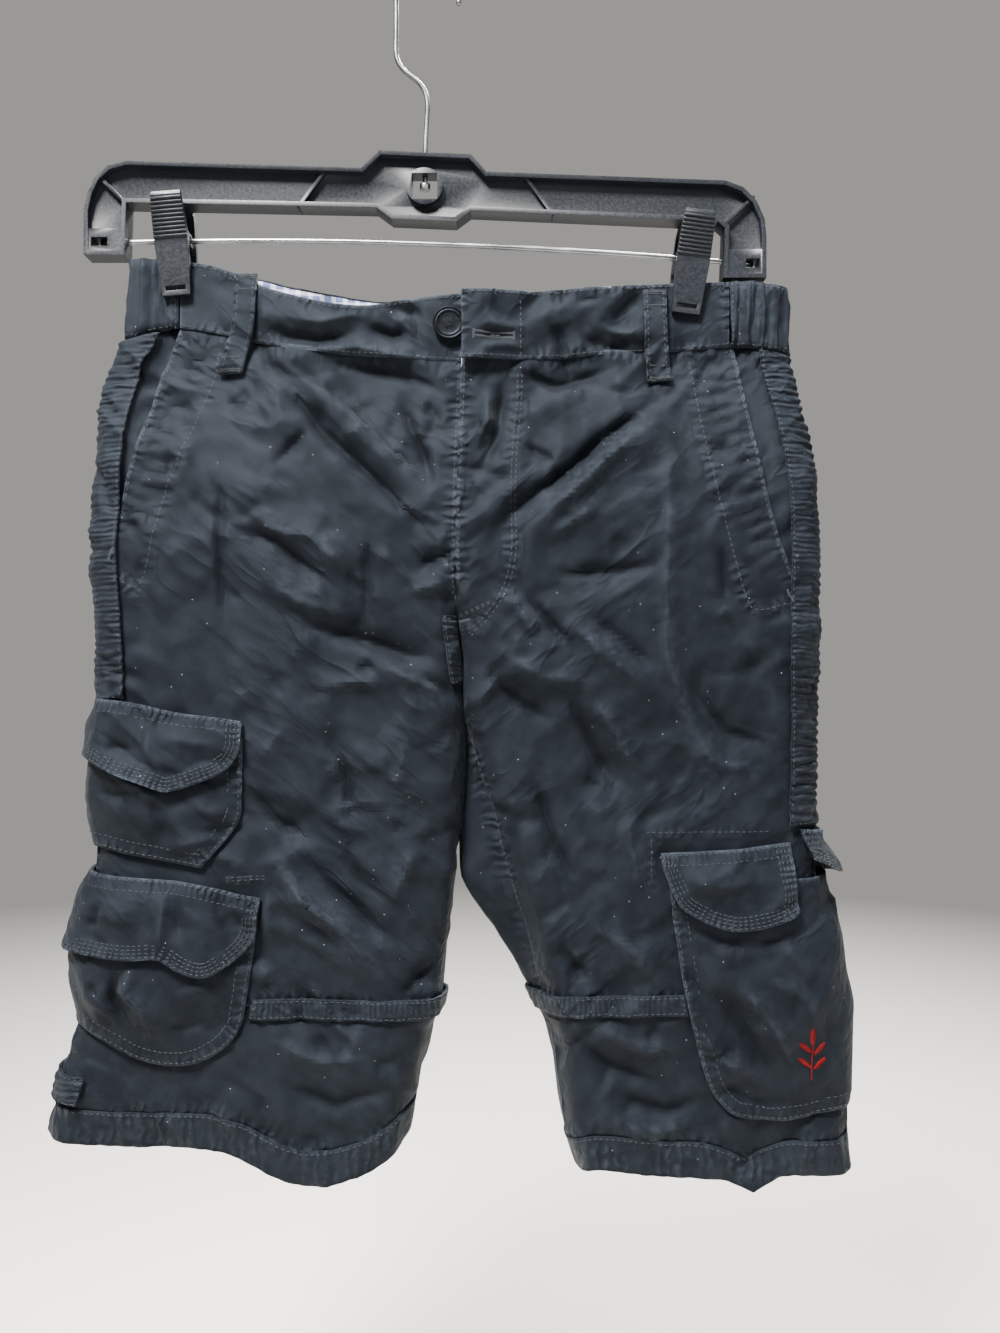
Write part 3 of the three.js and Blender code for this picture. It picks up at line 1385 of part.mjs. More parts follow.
// Bent steel strip that passes under the rod and pushes both levers apart
function springGeometry() {
  const shape = new THREE.Shape();
  const outer = [[-8.6, 14], [-5.6, 3], [-4.2, -3.2], [0, -5.6], [4.2, -3.2], [5.6, 3], [8.6, 14]];
  const inner = [[7.8, 14], [4.9, 3.2], [3.6, -2.6], [0, -4.8], [-3.6, -2.6], [-4.9, 3.2], [-7.8, 14]];
  [...outer, ...inner].forEach(([y, z], i) => (i ? shape.lineTo(y, z) : shape.moveTo(y, z)));
  shape.closePath();
  const strip = new THREE.ExtrudeGeometry(shape, { depth: 6, bevelEnabled: false });
  return strip.rotateX(Math.PI / 2).rotateZ(Math.PI / 2).translate(-3, 0, 0);
}

function clips() {
  for (const clip of CLIPS) {
    const group = new THREE.Group();
    group.position.set(clip.x, 0, clip.z);
    group.rotation.y = THREE.MathUtils.degToRad(clip.lean);
    garment.add(group);
    const front = add(`clip_front_jaw_${clip.side}`, jawSolid(7.2, true), 'plastic');
    const back = add(`clip_back_jaw_${clip.side}`, jawSolid(5.2, false), 'plastic');
    back.rotation.z = Math.PI;
    const spring = add(`clip_spring_${clip.side}`, springGeometry(), 'steel');
    group.add(front, back, spring);
  }
}

waistband();
frontPanels();
backPanels();
lowerLegs();
hipPocketFacings();
flyShield();
seamBands();
kneeBands();
legPockets();
beltLoops();
button();
hangerBody();
hangerHook();
hangerRod();
clips();

export default garment;
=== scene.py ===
# %% [markdown]
# # Cargo shorts on a clip hanger
# The imported solids give every piece its place and outline. Each cloth piece is copied, smoothed and
# creased by listed folds, then stitched. The hanger keeps its solids with softened edges.

import math

import bmesh
import bpy
import numpy as np
from mathutils import Matrix, Vector
from mathutils.bvhtree import BVHTree
from mathutils.kdtree import KDTree


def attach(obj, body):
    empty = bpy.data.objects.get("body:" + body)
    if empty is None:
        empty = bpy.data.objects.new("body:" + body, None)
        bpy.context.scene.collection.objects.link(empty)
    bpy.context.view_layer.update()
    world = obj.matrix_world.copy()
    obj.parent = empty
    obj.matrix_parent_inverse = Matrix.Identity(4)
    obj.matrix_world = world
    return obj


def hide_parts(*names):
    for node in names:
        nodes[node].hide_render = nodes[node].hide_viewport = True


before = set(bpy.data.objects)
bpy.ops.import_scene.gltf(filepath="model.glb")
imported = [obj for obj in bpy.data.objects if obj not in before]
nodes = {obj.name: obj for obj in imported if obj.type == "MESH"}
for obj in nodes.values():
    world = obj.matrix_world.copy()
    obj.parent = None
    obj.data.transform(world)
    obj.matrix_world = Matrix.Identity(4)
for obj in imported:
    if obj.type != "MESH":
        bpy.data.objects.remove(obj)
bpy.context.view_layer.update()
MM = 0.001
print("nodes", len(nodes))


def new_object(name, data):
    """An object of that name, put in the scene at the origin."""
    made = bpy.data.objects.new(name, data)
    bpy.context.scene.collection.objects.link(made)
    return made


def vectors_of(layer, field):
    """All vectors of a layer of a mesh, one to a row."""
    flat = np.zeros(len(layer) * 3)
    layer.foreach_get(field, flat)
    return flat.reshape(-1, 3)


def points_of(made):
    return vectors_of(made.data.vertices, "co") / MM


def set_points(made, points):
    made.data.vertices.foreach_set("co", (points * MM).ravel())


def dress(mesh, look):
    mesh.materials.clear()
    mesh.materials.append(look)


# %% [markdown]
# The cloth pieces, how finely each is smoothed, and the flat size it was cut to (millimetres,
# with the cut's area in square centimetres).

# %% The cloth pieces
CLOTH = [
    {"piece": "front_panel_right", "fine": 3, "flat": (210, 350), "area": 650},
    {"piece": "front_panel_left", "fine": 3, "flat": (200, 345), "area": 560},
    {"piece": "back_panel_right", "fine": 2, "flat": (225, 350), "area": 740},
    {"piece": "back_panel_left", "fine": 2, "flat": (215, 345), "area": 700},
    {"piece": "lower_leg_front_right", "fine": 3, "flat": (210, 75), "area": 130},
    {"piece": "lower_leg_front_left", "fine": 3, "flat": (160, 80), "area": 110},
    {"piece": "lower_leg_back_right", "fine": 2, "flat": (215, 62), "area": 110},
    {"piece": "lower_leg_back_left", "fine": 2, "flat": (190, 78), "area": 144},
    {"piece": "hem_right", "fine": 3, "flat": (430, 18), "area": 77},
    {"piece": "hem_left", "fine": 3, "flat": (345, 18), "area": 62},
    {"piece": "waistband_front_right", "fine": 3, "flat": (155, 40), "area": 50},
    {"piece": "waistband_front_left", "fine": 3, "flat": (145, 40), "area": 52},
    {"piece": "waistband_side_right", "fine": 3, "flat": (75, 42), "area": 30},
    {"piece": "waistband_side_left", "fine": 3, "flat": (75, 40), "area": 28},
    {"piece": "waistband_back_right", "fine": 2, "flat": (145, 44), "area": 55},
    {"piece": "waistband_back_left", "fine": 2, "flat": (142, 42), "area": 52},
    {"piece": "waistband_facing_right", "fine": 3, "flat": (145, 42), "area": 52},
    {"piece": "waistband_facing_left", "fine": 3, "flat": (142, 40), "area": 50},
    {"piece": "fly_shield", "fine": 2, "flat": (25, 135), "area": 22},
    {"piece": "hip_pocket_facing_right", "fine": 3, "flat": (50, 115), "area": 34},
    {"piece": "hip_pocket_facing_left", "fine": 3, "flat": (50, 125), "area": 41},
    {"piece": "rise_seam_band", "fine": 4, "flat": (13, 36), "area": 4.4},
    {"piece": "seat_seam_band", "fine": 2, "flat": (14, 170), "area": 16},
    {"piece": "side_seam_band_right", "fine": 4, "flat": (45, 190), "area": 81},
    {"piece": "side_seam_band_left", "fine": 4, "flat": (45, 245), "area": 106},
    {"piece": "side_seam_band_lower", "fine": 4, "flat": (50, 15), "area": 7.2},
    {"piece": "knee_seam_band_right", "fine": 3, "flat": (260, 11), "area": 27},
    {"piece": "knee_seam_band_left", "fine": 3, "flat": (210, 11), "area": 22},
    {"piece": "right_upper_pocket_body", "fine": 3, "flat": (165, 75), "area": 112},
    {"piece": "right_upper_flap", "fine": 3, "flat": (155, 48), "area": 67},
    {"piece": "right_lower_pocket_body", "fine": 3, "flat": (185, 84), "area": 142},
    {"piece": "right_lower_flap", "fine": 3, "flat": (180, 52), "area": 87},
    {"piece": "left_pocket_body", "fine": 3, "flat": (200, 125), "area": 228},
    {"piece": "left_flap_front", "fine": 3, "flat": (70, 45), "area": 25},
    {"piece": "left_flap_rear", "fine": 3, "flat": (90, 48), "area": 41},
    {"piece": "belt_loop_right_front", "fine": 3, "flat": (13, 54), "area": 6.4},
    {"piece": "belt_loop_left_front", "fine": 3, "flat": (13, 50), "area": 6},
    {"piece": "belt_loop_right_back", "fine": 2, "flat": (13, 50), "area": 6},
    {"piece": "belt_loop_centre_back", "fine": 2, "flat": (13, 48), "area": 5.8},
    {"piece": "belt_loop_left_back", "fine": 2, "flat": (13, 46), "area": 5.6},
]

# %% [markdown]
# Creases are drawn as lines in millimetres seen from the front. A ridge stands up and a trough
# sinks in. Lean makes one flank steeper than the other.

# %% Ridges and troughs
def ridge(width, height, path, lean=0.0):
    """A crease by its reach to each side, its height, its line and its lean."""
    return {"path": path, "width": width, "height": height, "lean": lean}


def trough(width, depth, path, lean=0.0):
    return ridge(width, -depth, path, lean)


# %% Main creases of the front
FRONT_CREASES = [
    # right front, under the waistband and down to the fly
    trough(6, 2.3, [(-84, -194), (-72, -199), (-56, -202), (-42, -200), (-33, -196)], lean=-0.3),
    trough(4.5, 1.9, [(-31, -195), (-17, -201), (-8, -195)], lean=-0.2),
    ridge(6, 1.3, [(-76, -190), (-58, -193), (-38, -190), (-24, -190)], lean=0.2),
    ridge(6, 1.7, [(-66, -206), (-36, -207), (-10, -213), (8, -221)], lean=0.2),
    trough(5.5, 1.8, [(-61, -212), (-46, -214), (-30, -219), (-10, -222), (11, -231)], lean=-0.3),
    trough(4, 1.4, [(-7, -188), (-1, -202), (5, -211)], lean=0.2),
    ridge(4, 1.4, [(-14, -186), (-6, -202)]),
    trough(3.2, 1.0, [(24, -200.4), (46, -200.4)]),
    ridge(3.4, 0.9, [(25, -195), (40, -194.4), (56, -196)], lean=0.2),
    ridge(3.4, 0.9, [(25, -206), (42, -205), (55, -206.5)]),
    trough(4.5, 1.2, [(76, -188), (84, -200), (95, -203), (110, -206), (124, -202)], lean=0.3),
    trough(5, 1.6, [(64, -188), (70, -204), (76, -232)], lean=0.3),
    ridge(5.5, 1.4, [(84, -192), (100, -196), (118, -196)]),
    trough(6, 1.9, [(40, -216), (37, -238), (35, -254), (25, -276)], lean=0.35),
    ridge(5, 1.5, [(31, -226), (31, -246), (24, -260)]),
    trough(8, 4.2, [(-84, -209), (-58, -244), (-27, -275), (13, -312)], lean=0.35),
    ridge(11, 3.2, [(-70, -213), (-40, -240), (-12, -266), (12, -292)], lean=-0.2),
    trough(7, 2.6, [(-53, -222), (-20, -258), (6, -280)], lean=0.3),
    trough(6, 2.2, [(-15, -228), (-4, -256), (4, -280)], lean=-0.3),
    trough(5, 1.2, [(-78, -270), (-58, -246)], lean=0.2),
    ridge(6, 1.2, [(-44, -252), (-24, -246)]),
    trough(8, 3.4, [(-102, -300), (-76, -307), (-46, -332)], lean=-0.35),
    ridge(11, 2.2, [(-86, -300), (-56, -306), (-34, -326)]),
    ridge(7, 2.0, [(-84, -326), (-60, -338), (-38, -343)], lean=0.3),
    trough(8, 3.6, [(-64, -345), (-32, -357), (-10, -364), (8, -364)], lean=0.3),
    trough(4, 1.4, [(-102, -268), (-103, -310), (-102, -356)], lean=0.4),
    trough(5, 1.5, [(-28, -302), (-30, -352)], lean=-0.4),
    trough(6, 2.4, [(-6, -322), (15, -312)], lean=0.3),
    ridge(6, 1.8, [(-12, -334), (14, -328)]),
    ridge(9, 1.6, [(-20, -282), (14, -300)]),
    # right thigh down to the knee
    trough(8, 2.6, [(-91, -430), (-75, -449), (-56, -460)], lean=0.3),
    ridge(5.5, 4.6, [(-80, -463), (-60, -486), (-42, -500), (-16, -531)], lean=-0.35),
    trough(10, 2.8, [(-66, -462), (-40, -488), (-12, -512)], lean=0.2),
    ridge(3.2, 1.5, [(-9, -404), (-17, -434)], lean=0.4),
    ridge(7, 1.8, [(-58, -381), (-33, -377), (-16, -380)], lean=0.2),
    ridge(8, 2.4, [(-30, -366), (2, -380), (14, -398)], lean=-0.3),
    ridge(5, 1.6, [(-79, -480), (-80, -512)], lean=0.3),
    trough(8, 2.6, [(-12, -536), (8, -520)]),
    ridge(5, 1.8, [(-86, -519), (-77, -530)]),
    trough(8, 1.8, [(-52, -402), (-40, -424), (-38, -452)], lean=0.2),
    ridge(9, 2.0, [(-4, -458), (-16, -488)], lean=-0.2),
    ridge(8, 1.4, [(-70, -396), (-84, -420)]),
    # right lower leg
    ridge(7, 1.8, [(-84, -556), (-50, -570), (-20, -566)], lean=0.2),
    trough(8, 2.2, [(-76, -580), (-44, -590), (-12, -580)], lean=0.2),
    ridge(6, 1.5, [(-30, -548), (-38, -572)]),
    ridge(7, 1.8, [(-110, -588), (-92, -602)], lean=0.3),
    # left front, from the belt loop down to the fly
    trough(7, 4.4, [(124, -229), (88, -257), (58, -280), (44, -291), (30, -311)], lean=0.4),
    ridge(11, 3.4, [(124, -240), (92, -266), (64, -290), (48, -310)], lean=-0.25),
    trough(6, 1.8, [(48, -257), (68, -267)], lean=0.2),
    ridge(7, 1.8, [(60, -308), (88, -287)], lean=0.3),
    trough(7, 2.4, [(60, -324), (92, -321), (122, -317)], lean=-0.3),
    trough(6, 2.2, [(42, -217), (66, -225), (98, -214)]),
    ridge(4, 1.7, [(124, -246), (123, -300), (121, -352), (122, -364), (132, -398), (168, -448)], lean=0.4),
    trough(5, 1.5, [(150, -306), (152, -340)]),
    ridge(6, 2.6, [(42, -331), (56, -356)], lean=0.2),
    trough(6, 2.6, [(48, -334), (76, -363)], lean=-0.2),
    ridge(8, 2.8, [(70, -346), (111, -383)], lean=0.35),
    trough(8, 2.0, [(78, -340), (118, -372)]),
    trough(7, 3.2, [(70, -382), (84, -410), (99, -440)], lean=0.3),
    ridge(9, 2.2, [(80, -378), (98, -408), (110, -436)]),
    ridge(7, 2.2, [(101, -446), (108, -483)], lean=0.3),
    trough(8, 2.4, [(28, -366), (48, -388), (66, -402)], lean=0.2),
    ridge(8, 2.2, [(34, -360), (60, -376), (92, -380)]),
    trough(8, 2.2, [(52, -420), (62, -452), (76, -486)], lean=0.3),
    ridge(8, 2.0, [(126, -404), (150, -420), (176, -424)]),
    trough(9, 2.0, [(134, -376), (152, -402), (180, -412)], lean=0.2),
    ridge(8, 2.2, [(80, -498), (104, -514), (122, -534)], lean=0.2),
    trough(7, 2.0, [(66, -508), (84, -530)]),
    # left lower leg
    trough(7, 2.4, [(72, -556), (94, -574), (124, -580)], lean=0.3),
    ridge(7, 2.0, [(82, -552), (112, -562), (134, -560)]),
    ridge(8, 2.0, [(86, -596), (112, -604), (142, -598)], lean=0.2),
    trough(6, 1.6, [(90, -584), (120, -594), (146, -586)]),
]

# %% Main creases of the back
BACK_CREASES = [
    ridge(11, 3.4, [(-96, -224), (-60, -262), (-14, -318)], lean=0.2),
    trough(8, 3.0, [(-84, -222), (-46, -258), (-8, -300)], lean=-0.3),
    trough(9, 2.8, [(-134, -262), (-96, -312), (-58, -356)], lean=0.3),
    ridge(8, 2.6, [(-120, -330), (-76, -352), (-22, -372)], lean=0.3),
    trough(9, 2.6, [(-52, -384), (-32, -424), (-24, -468)]),
    ridge(9, 3.0, [(-84, -420), (-52, -474), (-30, -520)], lean=-0.3),
    ridge(8, 2.0, [(-60, -560), (-36, -582)]),
    trough(8, 2.0, [(-130, -560), (-96, -584)], lean=0.2),
    ridge(11, 3.4, [(116, -228), (82, -276), (46, -326)], lean=-0.2),
    trough(8, 3.0, [(134, -238), (100, -288), (62, -332)], lean=0.3),
    trough(9, 2.6, [(160, -290), (124, -338), (96, -384)]),
    ridge(8, 2.6, [(150, -352), (104, -370), (54, -378)], lean=-0.3),
    trough(9, 2.6, [(70, -386), (60, -428), (54, -470)]),
    ridge(9, 3.0, [(110, -416), (88, -468), (80, -518)], lean=0.3),
    ridge(8, 2.0, [(96, -560), (124, -586)]),
    trough(8, 1.8, [(150, -556), (128, -590)], lean=0.2),
]

# %% Creases that only one piece has
OWN_CREASES = {
    "right_upper_flap": [
        ridge(5, 1.6, [(-139, -398), (-136, -414), (-128, -426)], lean=0.3),
        trough(4, 1.1, [(-160, -410), (-146, -412)]),
        ridge(5, 1.0, [(-132, -404), (-104, -410)]),
    ],
    "right_upper_pocket_body": [
        ridge(5, 1.4, [(-116, -438), (-100, -446)], lean=0.3),
        trough(6, 1.2, [(-134, -434), (-128, -458)]),
        trough(4, 0.9, [(-112, -452), (-96, -454)]),
    ],
    "right_lower_flap": [
        ridge(4, 1.9, [(-128, -480), (-130, -500), (-132, -512)], lean=-0.4),
        trough(5, 1.1, [(-122, -482), (-122, -506)]),
        ridge(5, 1.0, [(-168, -492), (-140, -496)], lean=0.2),
        ridge(5, 0.9, [(-108, -492), (-96, -506)]),
    ],
    "right_lower_pocket_body": [
        ridge(4.5, 2.4, [(-146, -516), (-147, -532), (-138, -542), (-134, -556)], lean=0.35),
        trough(6, 2.0, [(-152, -520), (-154, -538), (-144, -552)]),
        ridge(5, 1.5, [(-170, -536), (-152, -544)], lean=0.2),
        ridge(6, 1.4, [(-124, -534), (-106, -528)]),
        trough(5, 1.3, [(-128, -552), (-108, -546)], lean=0.2),
    ],
    "left_pocket_body": [
        ridge(6, 2.8, [(148, -525), (170, -543), (188, -572)], lean=0.35),
        trough(7, 2.0, [(140, -526), (160, -550), (176, -580)]),
        ridge(7, 1.6, [(176, -508), (196, -526)]),
        ridge(5, 1.3, [(146, -510), (164, -516)], lean=0.2),
        trough(6, 1.3, [(198, -536), (206, -566)]),
        trough(5, 1.9, [(134, -500), (156, -512), (190, -504)], lean=0.3),
        ridge(5, 2.0, [(134, -548), (150, -567), (174, -576)], lean=-0.3),
        ridge(5, 1.9, [(160, -524), (186, -532), (202, -550)], lean=0.35),
        trough(5, 1.5, [(144, -580), (166, -588), (190, -584)]),
        trough(4.5, 1.5, [(130, -520), (142, -538)], lean=0.3),
    ],
    "left_flap_front": [
        ridge(5, 1.3, [(126, -474), (146, -480), (168, -476)], lean=0.3),
        trough(4, 0.8, [(146, -484), (150, -498)]),
    ],
}

# %% [markdown]
# Seeded small crumples fill the cloth between the main creases: many short ones, few long ones.

# %% Seeded crumples
CRUMPLES = [
    {"face": "front", "box": (-175, -600, 215, -206), "count": 420, "seed": 11},
    {"face": "back", "box": (-175, -600, 215, -206), "count": 280, "seed": 23},
    {"face": "front", "box": (-150, -212, 180, -160), "count": 90, "seed": 31},
    {"face": "back", "box": (-150, -212, 180, -160), "count": 60, "seed": 37},
]
FOLD_DEPTH = 1.7


def crumple_lines(row):
    """Short soft creases at seeded places, most of them lying with the hang of the cloth."""
    rng = np.random.default_rng(row["seed"])
    x1, z1, x2, z2 = row["box"]
    made = []
    for _ in range(row["count"]):
        x, z = rng.uniform(x1, x2), rng.uniform(z1, z2)
        length = 10 + 38 * rng.random() ** 2
        lie = math.radians(rng.normal(-42 if x < 16 else 222, 36))
        bend = rng.uniform(-0.25, 0.25) * length
        ux, uz = math.cos(lie), math.sin(lie)
        middle = (x + ux * length / 2 - uz * bend, z + uz * length / 2 + ux * bend)
        end = (x + ux * length, z + uz * length)
        width = rng.uniform(3.0, 6.5)
        height = rng.choice([-1, 1]) * rng.uniform(0.4, 0.36 * width)
        lean = rng.uniform(-0.5, 0.5)
        made.append(ridge(width, height, [(x, z), middle, end], lean))
    return made


RIPPLE_WIDTH, RIPPLE_STEP = 3.0, 0.034
# Strips between each hip pocket's mouth and its stitched line, gathered across
MOUTH_STRIPS = [
    {"mouth": [(-126, -200), (-155, -304)], "line": [(-107, -208), (-132, -306)], "seed": 41},
    {"mouth": [(154, -214), (183, -322)], "line": [(132, -217), (161, -334)], "seed": 43},
]


def strip_ripples(strip):
    """Ridges and hollows by turns across one strip."""
    rng = np.random.default_rng(strip["seed"])
    mouth, line = np.array(strip["mouth"]), np.array(strip["line"])
    made = []
    for i, t in enumerate(np.arange(0.03, 0.98, RIPPLE_STEP)):
        a = mouth[0] + (mouth[1] - mouth[0]) * (t + rng.uniform(-0.01, 0.01))
        b = line[0] + (line[1] - line[0]) * (t + rng.uniform(-0.02, 0.02))
        b = a + (b - a) * rng.uniform(0.45, 1.1)
        made.append(ridge(RIPPLE_WIDTH, (-1) ** i * rng.uniform(0.5, 1.3), [tuple(a), tuple(b)]))
    return made


CREASES = {"front": FRONT_CREASES, "back": BACK_CREASES}
for face, rows in CREASES.items():
    CREASES[face] = [dict(row, height=row["height"] * FOLD_DEPTH) for row in rows]
for row in CRUMPLES:
    CREASES[row["face"]] += crumple_lines(row)
for strip in MOUTH_STRIPS:
    CREASES["front"] += strip_ripples(strip)
print("creases", {face: len(rows) for face, rows in CREASES.items()})

# %% [markdown]
# Rows of stitches drawn on the front, away from any rim. The cloth puckers beside them.

# %% Rows drawn on the front
FRONT_CLOTH = ["front_panel_right", "front_panel_left", "lower_leg_front_right", "lower_leg_front_left"]
BANDS = ["waistband_front_right", "waistband_front_left"]
LINES = [
    # the curved fly stitching and the tack at its foot
    {"on": FRONT_CLOTH, "offsets": (0, 2.2), "pucker": 7,
     "path": [(46.9, -219), (46.9, -231), (44.4, -254), (42.9, -283), (44.4, -311), (39.8, -331),
              (27, -349), (17, -352)]},
    {"on": FRONT_CLOTH, "offsets": (0, 1), "pucker": 0, "path": [(17, -345), (33, -338)]},
    # rows that hold the hip pockets
    {"on": FRONT_CLOTH, "offsets": (0,), "pucker": 6,
     "path": [(-107.8, -206), (-109, -216), (-114.3, -234), (-123.5, -258), (-132.6, -284),
              (-137.7, -309), (-144.3, -333), (-156, -324)]},
    {"on": FRONT_CLOTH, "offsets": (0,), "pucker": 6,
     "path": [(136.5, -210), (140.8, -246), (146.8, -279), (153.9, -307.5), (161, -332), (165, -343),
              (183, -338)]},
    # end of the waistband beside the buttonhole
    {"on": BANDS, "offsets": (0,), "pucker": 3, "path": [(48.4, -181), (48.4, -212)]},
    # short rows at the tops of the leg pockets
    {"on": FRONT_CLOTH, "offsets": (0, 1.6), "pucker": 4, "path": [(-101, -478), (-80, -477)]},
    {"on": FRONT_CLOTH, "offsets": (0,), "pucker": 5, "path": [(111, -453.5), (176, -453)]},
    {"on": FRONT_CLOTH, "offsets": (0,), "pucker": 4, "path": [(114, -456), (114, -479)]},
]

# %% [markdown]
# Heights of the creases are worked out for all points of a piece at once.

# %% Relief of the cloth
WANDER = 1.3
# The cloth is held still under the clips and round the button
STILL = [
    {"x": -131, "z": -168, "wide": 17, "high": 18},
    {"x": 136, "z": -176, "wide": 17, "high": 18},
    {"x": 11.6, "z": -193.8, "wide": 9, "high": 9},
]
STILL_FADE = 14


def ease(t):
    t = np.clip(t, 0, 1)
    return t * t * (3 - 2 * t)


def seeded_noise(u, v, size, seed):
    """Smooth noise from -1 to 1 with features of that size."""
    table = np.random.default_rng(seed).uniform(-1, 1, (64, 64))
    u, v = u / size, v / size
    i, j = np.floor(u).astype(int), np.floor(v).astype(int)
    a, b = ease(u - i), ease(v - j)

    def corner(di, dj):
        return table[(i + di) % 64, (j + dj) % 64]

    low = corner(0, 0) * (1 - a) + corner(1, 0) * a
    high = corner(0, 1) * (1 - a) + corner(1, 1) * a
    return low * (1 - b) + high * b


def path_at(x, z, path):
    """Distance to a drawn path, its sign and the run along it, at each point."""
    near, side, along = np.full(x.shape, 1e9), np.zeros(x.shape), np.zeros(x.shape)
    run = 0.0
    for (x1, z1), (x2, z2) in zip(path, path[1:]):
        length = math.hypot(x2 - x1, z2 - z1)
        ux, uz = (x2 - x1) / length, (z2 - z1) / length
        s = np.clip((x - x1) * ux + (z - z1) * uz, 0, length)
        dx, dz = x - x1 - s * ux, z - z1 - s * uz
        away = np.hypot(dx, dz)
        closer = away < near
        near = np.where(closer, away, near)
        side = np.where(closer, np.sign(dx * uz - dz * ux), side)
        along = np.where(closer, run + s, along)
        run += length
    return near, side, along, run


# The sharp line along a crease fades out this far from it, and is rounded over by this much
LINE_REACH = 3.4
LINE_ROUND = {"front": 1.2, "back": 2.8}
# A crease of this height has the full line
FULL_LINE = 2.5
# How fast a flank falls away, and how much of its length a crease takes to rise from each end
FLANK_FALL, FLANK_POWER = 2.2, 1.22
END_SHARE = 0.4


def crease_at(x, z, crease, rounding):
    """How high one crease lifts the cloth at each point, and its sharp line there."""
    near, side, along, run = path_at(x, z, crease["path"])
    near = np.hypot(near, rounding) - rounding
    steep = near / crease["width"] * (1 + crease["lean"] * side)
    ends = ease(np.minimum(along, run - along) / (END_SHARE * run) + 0.12)
    line = np.clip(1 - near / LINE_REACH, 0, 1) * np.clip(crease["height"] / FULL_LINE, -1, 1) * ends
    return crease["height"] * np.exp(-FLANK_FALL * steep**FLANK_POWER) * ends, line


def creases_over(x, z, rows, rounding):
    """Height, paler tops and sharp line of many creases together. The paler tops stand partly for wear and partly
    for a painted highlight.
    """
    rise, worn, sharp = np.zeros((3, *x.shape))
    for row in rows:
        reach = 2.2 * row["width"] / (1 - abs(row["lean"]))
        xs, zs = zip(*row["path"])
        here = (x > min(xs) - reach) & (x < max(xs) + reach) & (z > min(zs) - reach) & (z < max(zs) + reach)
        if here.any():
            lift, line = crease_at(x[here], z[here], row, rounding)
            rise[here] += lift
            # Crease tops are marked to be painted paler: partly wear, partly a painted highlight
            worn[here] = np.maximum(worn[here], np.maximum(lift, 0) ** 2 / row["width"])
            sharp[here] = np.where(np.abs(line) > np.abs(sharp[here]), line, sharp[here])
    return rise, worn, sharp


# The net's ridges, from wide to fine
NET = [
    {"size": 27, "height": 2.2, "seed": 14},
    {"size": 15, "height": 1.15, "seed": 15},
    {"size": 8, "height": 0.35, "seed": 16},
]


def crumpled_net(x, z, shift=0.0):
    """A net of sharp-topped ridges, as in cotton dried without ironing."""
    x = x + 7 * seeded_noise(x, z, 31, 12)
    z = z + 7 * seeded_noise(x, z, 29, 13)
    hang = np.where(x < MIDDLE_X, 1.0, -1.0)
    x = x + shift
    along, across = 0.74 * x - 0.67 * hang * z, 0.67 * hang * x + 0.74 * z
    made = np.zeros(x.shape)
    for row in NET:
        tops = seeded_noise(along / 2.1, across, row["size"], row["seed"])
        folds = seeded_noise(along / 1.7, across, 1.2 * row["size"], row["seed"] + 20)
        made += row["height"] * ((1 - np.abs(tops)) ** 3 - 0.25)
        made -= 0.8 * row["height"] * (1 - np.abs(folds)) ** 4
    return made * ease(0.75 + 0.6 * seeded_noise(x, z, 60, 17))


def stillness(x, z):
    """Nought where the cloth is held, one where it is free."""
    free = np.ones(x.shape)
    for spot in STILL:
        dx = np.maximum(np.abs(x - spot["x"]) - spot["wide"], 0)
        dz = np.maximum(np.abs(z - spot["z"]) - spot["high"], 0)
        free = np.minimum(free, ease(np.hypot(dx, dz) / STILL_FADE))
    return free


# %% [markdown]
# The shorts are two flattened tubes that join above the crotch. Outward is away from the middle of
# its tube, so that both faces of a cloth wall move together.

# %% Outward direction of the flattened tubes
MIDDLE_X = 17.0
CROTCH_Z = -396.0
TUBE_HALF = 22.0
LEVELS = np.arange(-640.0, -150.0, 12.0)


def tube_edges(side):
    """Outer and inner edge of one half at each level."""
    names = [f"{n}_{side}" for n in ("front_panel", "back_panel", "lower_leg_front", "lower_leg_back", "hem",
                                     "waistband_side", "waistband_back")]
    points = np.concatenate([np.array([v.co for v in nodes[n].data.vertices]) for n in names]) / MM
    outer, inner = [], []
    for level in LEVELS:
        here = points[np.abs(points[:, 2] - level) < 16, 0]
        ends = (here.min(), here.max()) if side == "right" else (here.max(), here.min())
        outer.append(ends[0])
        inner.append(ends[1])
    return np.array(outer), np.array(inner)


EDGES = {side: tube_edges(side) for side in ("right", "left")}


def outward(points):
    """Unit directions away from the middle of the tube that each point belongs to, in millimetres."""
    x, y, z = points.T
    made = np.zeros(points.shape)
    for side in ("right", "left"):
        outer = np.interp(z, LEVELS, EDGES[side][0])
        inner = np.interp(z, LEVELS, EDGES[side][1])
        share = (x - (outer + inner) / 2) / (np.abs(outer - inner) / 2)
        to_inner = share > 0 if side == "right" else share < 0
        joined = ease((z - CROTCH_Z) / 24 + 0.5)
        across = np.sign(share) * np.minimum(np.abs(share), 1.15) ** 8 * np.where(to_inner, 1 - joined, 1)
        mine = (x < MIDDLE_X) if side == "right" else (x >= MIDDLE_X)
        made[mine] = np.stack([across, y / TUBE_HALF, np.zeros(len(x))], 1)[mine]
    length = np.linalg.norm(made, axis=1)
    made[length < 1e-6] = (0, -1, 0)
    return made / np.maximum(length, 1e-6)[:, None]


# %% [markdown]
# A fine copy of a CAD piece: its triangles joined to quads, its rim kept sharp, then smoothed.

# %% Fine copies
RIM_ANGLE = 0.9
RIM_STEP = 1.0
# The way into the cloth points down from a top rim and up from a bottom one, by at least this much
TOP_RIM, BOTTOM_RIM = -0.7, 0.45
shorts = {}


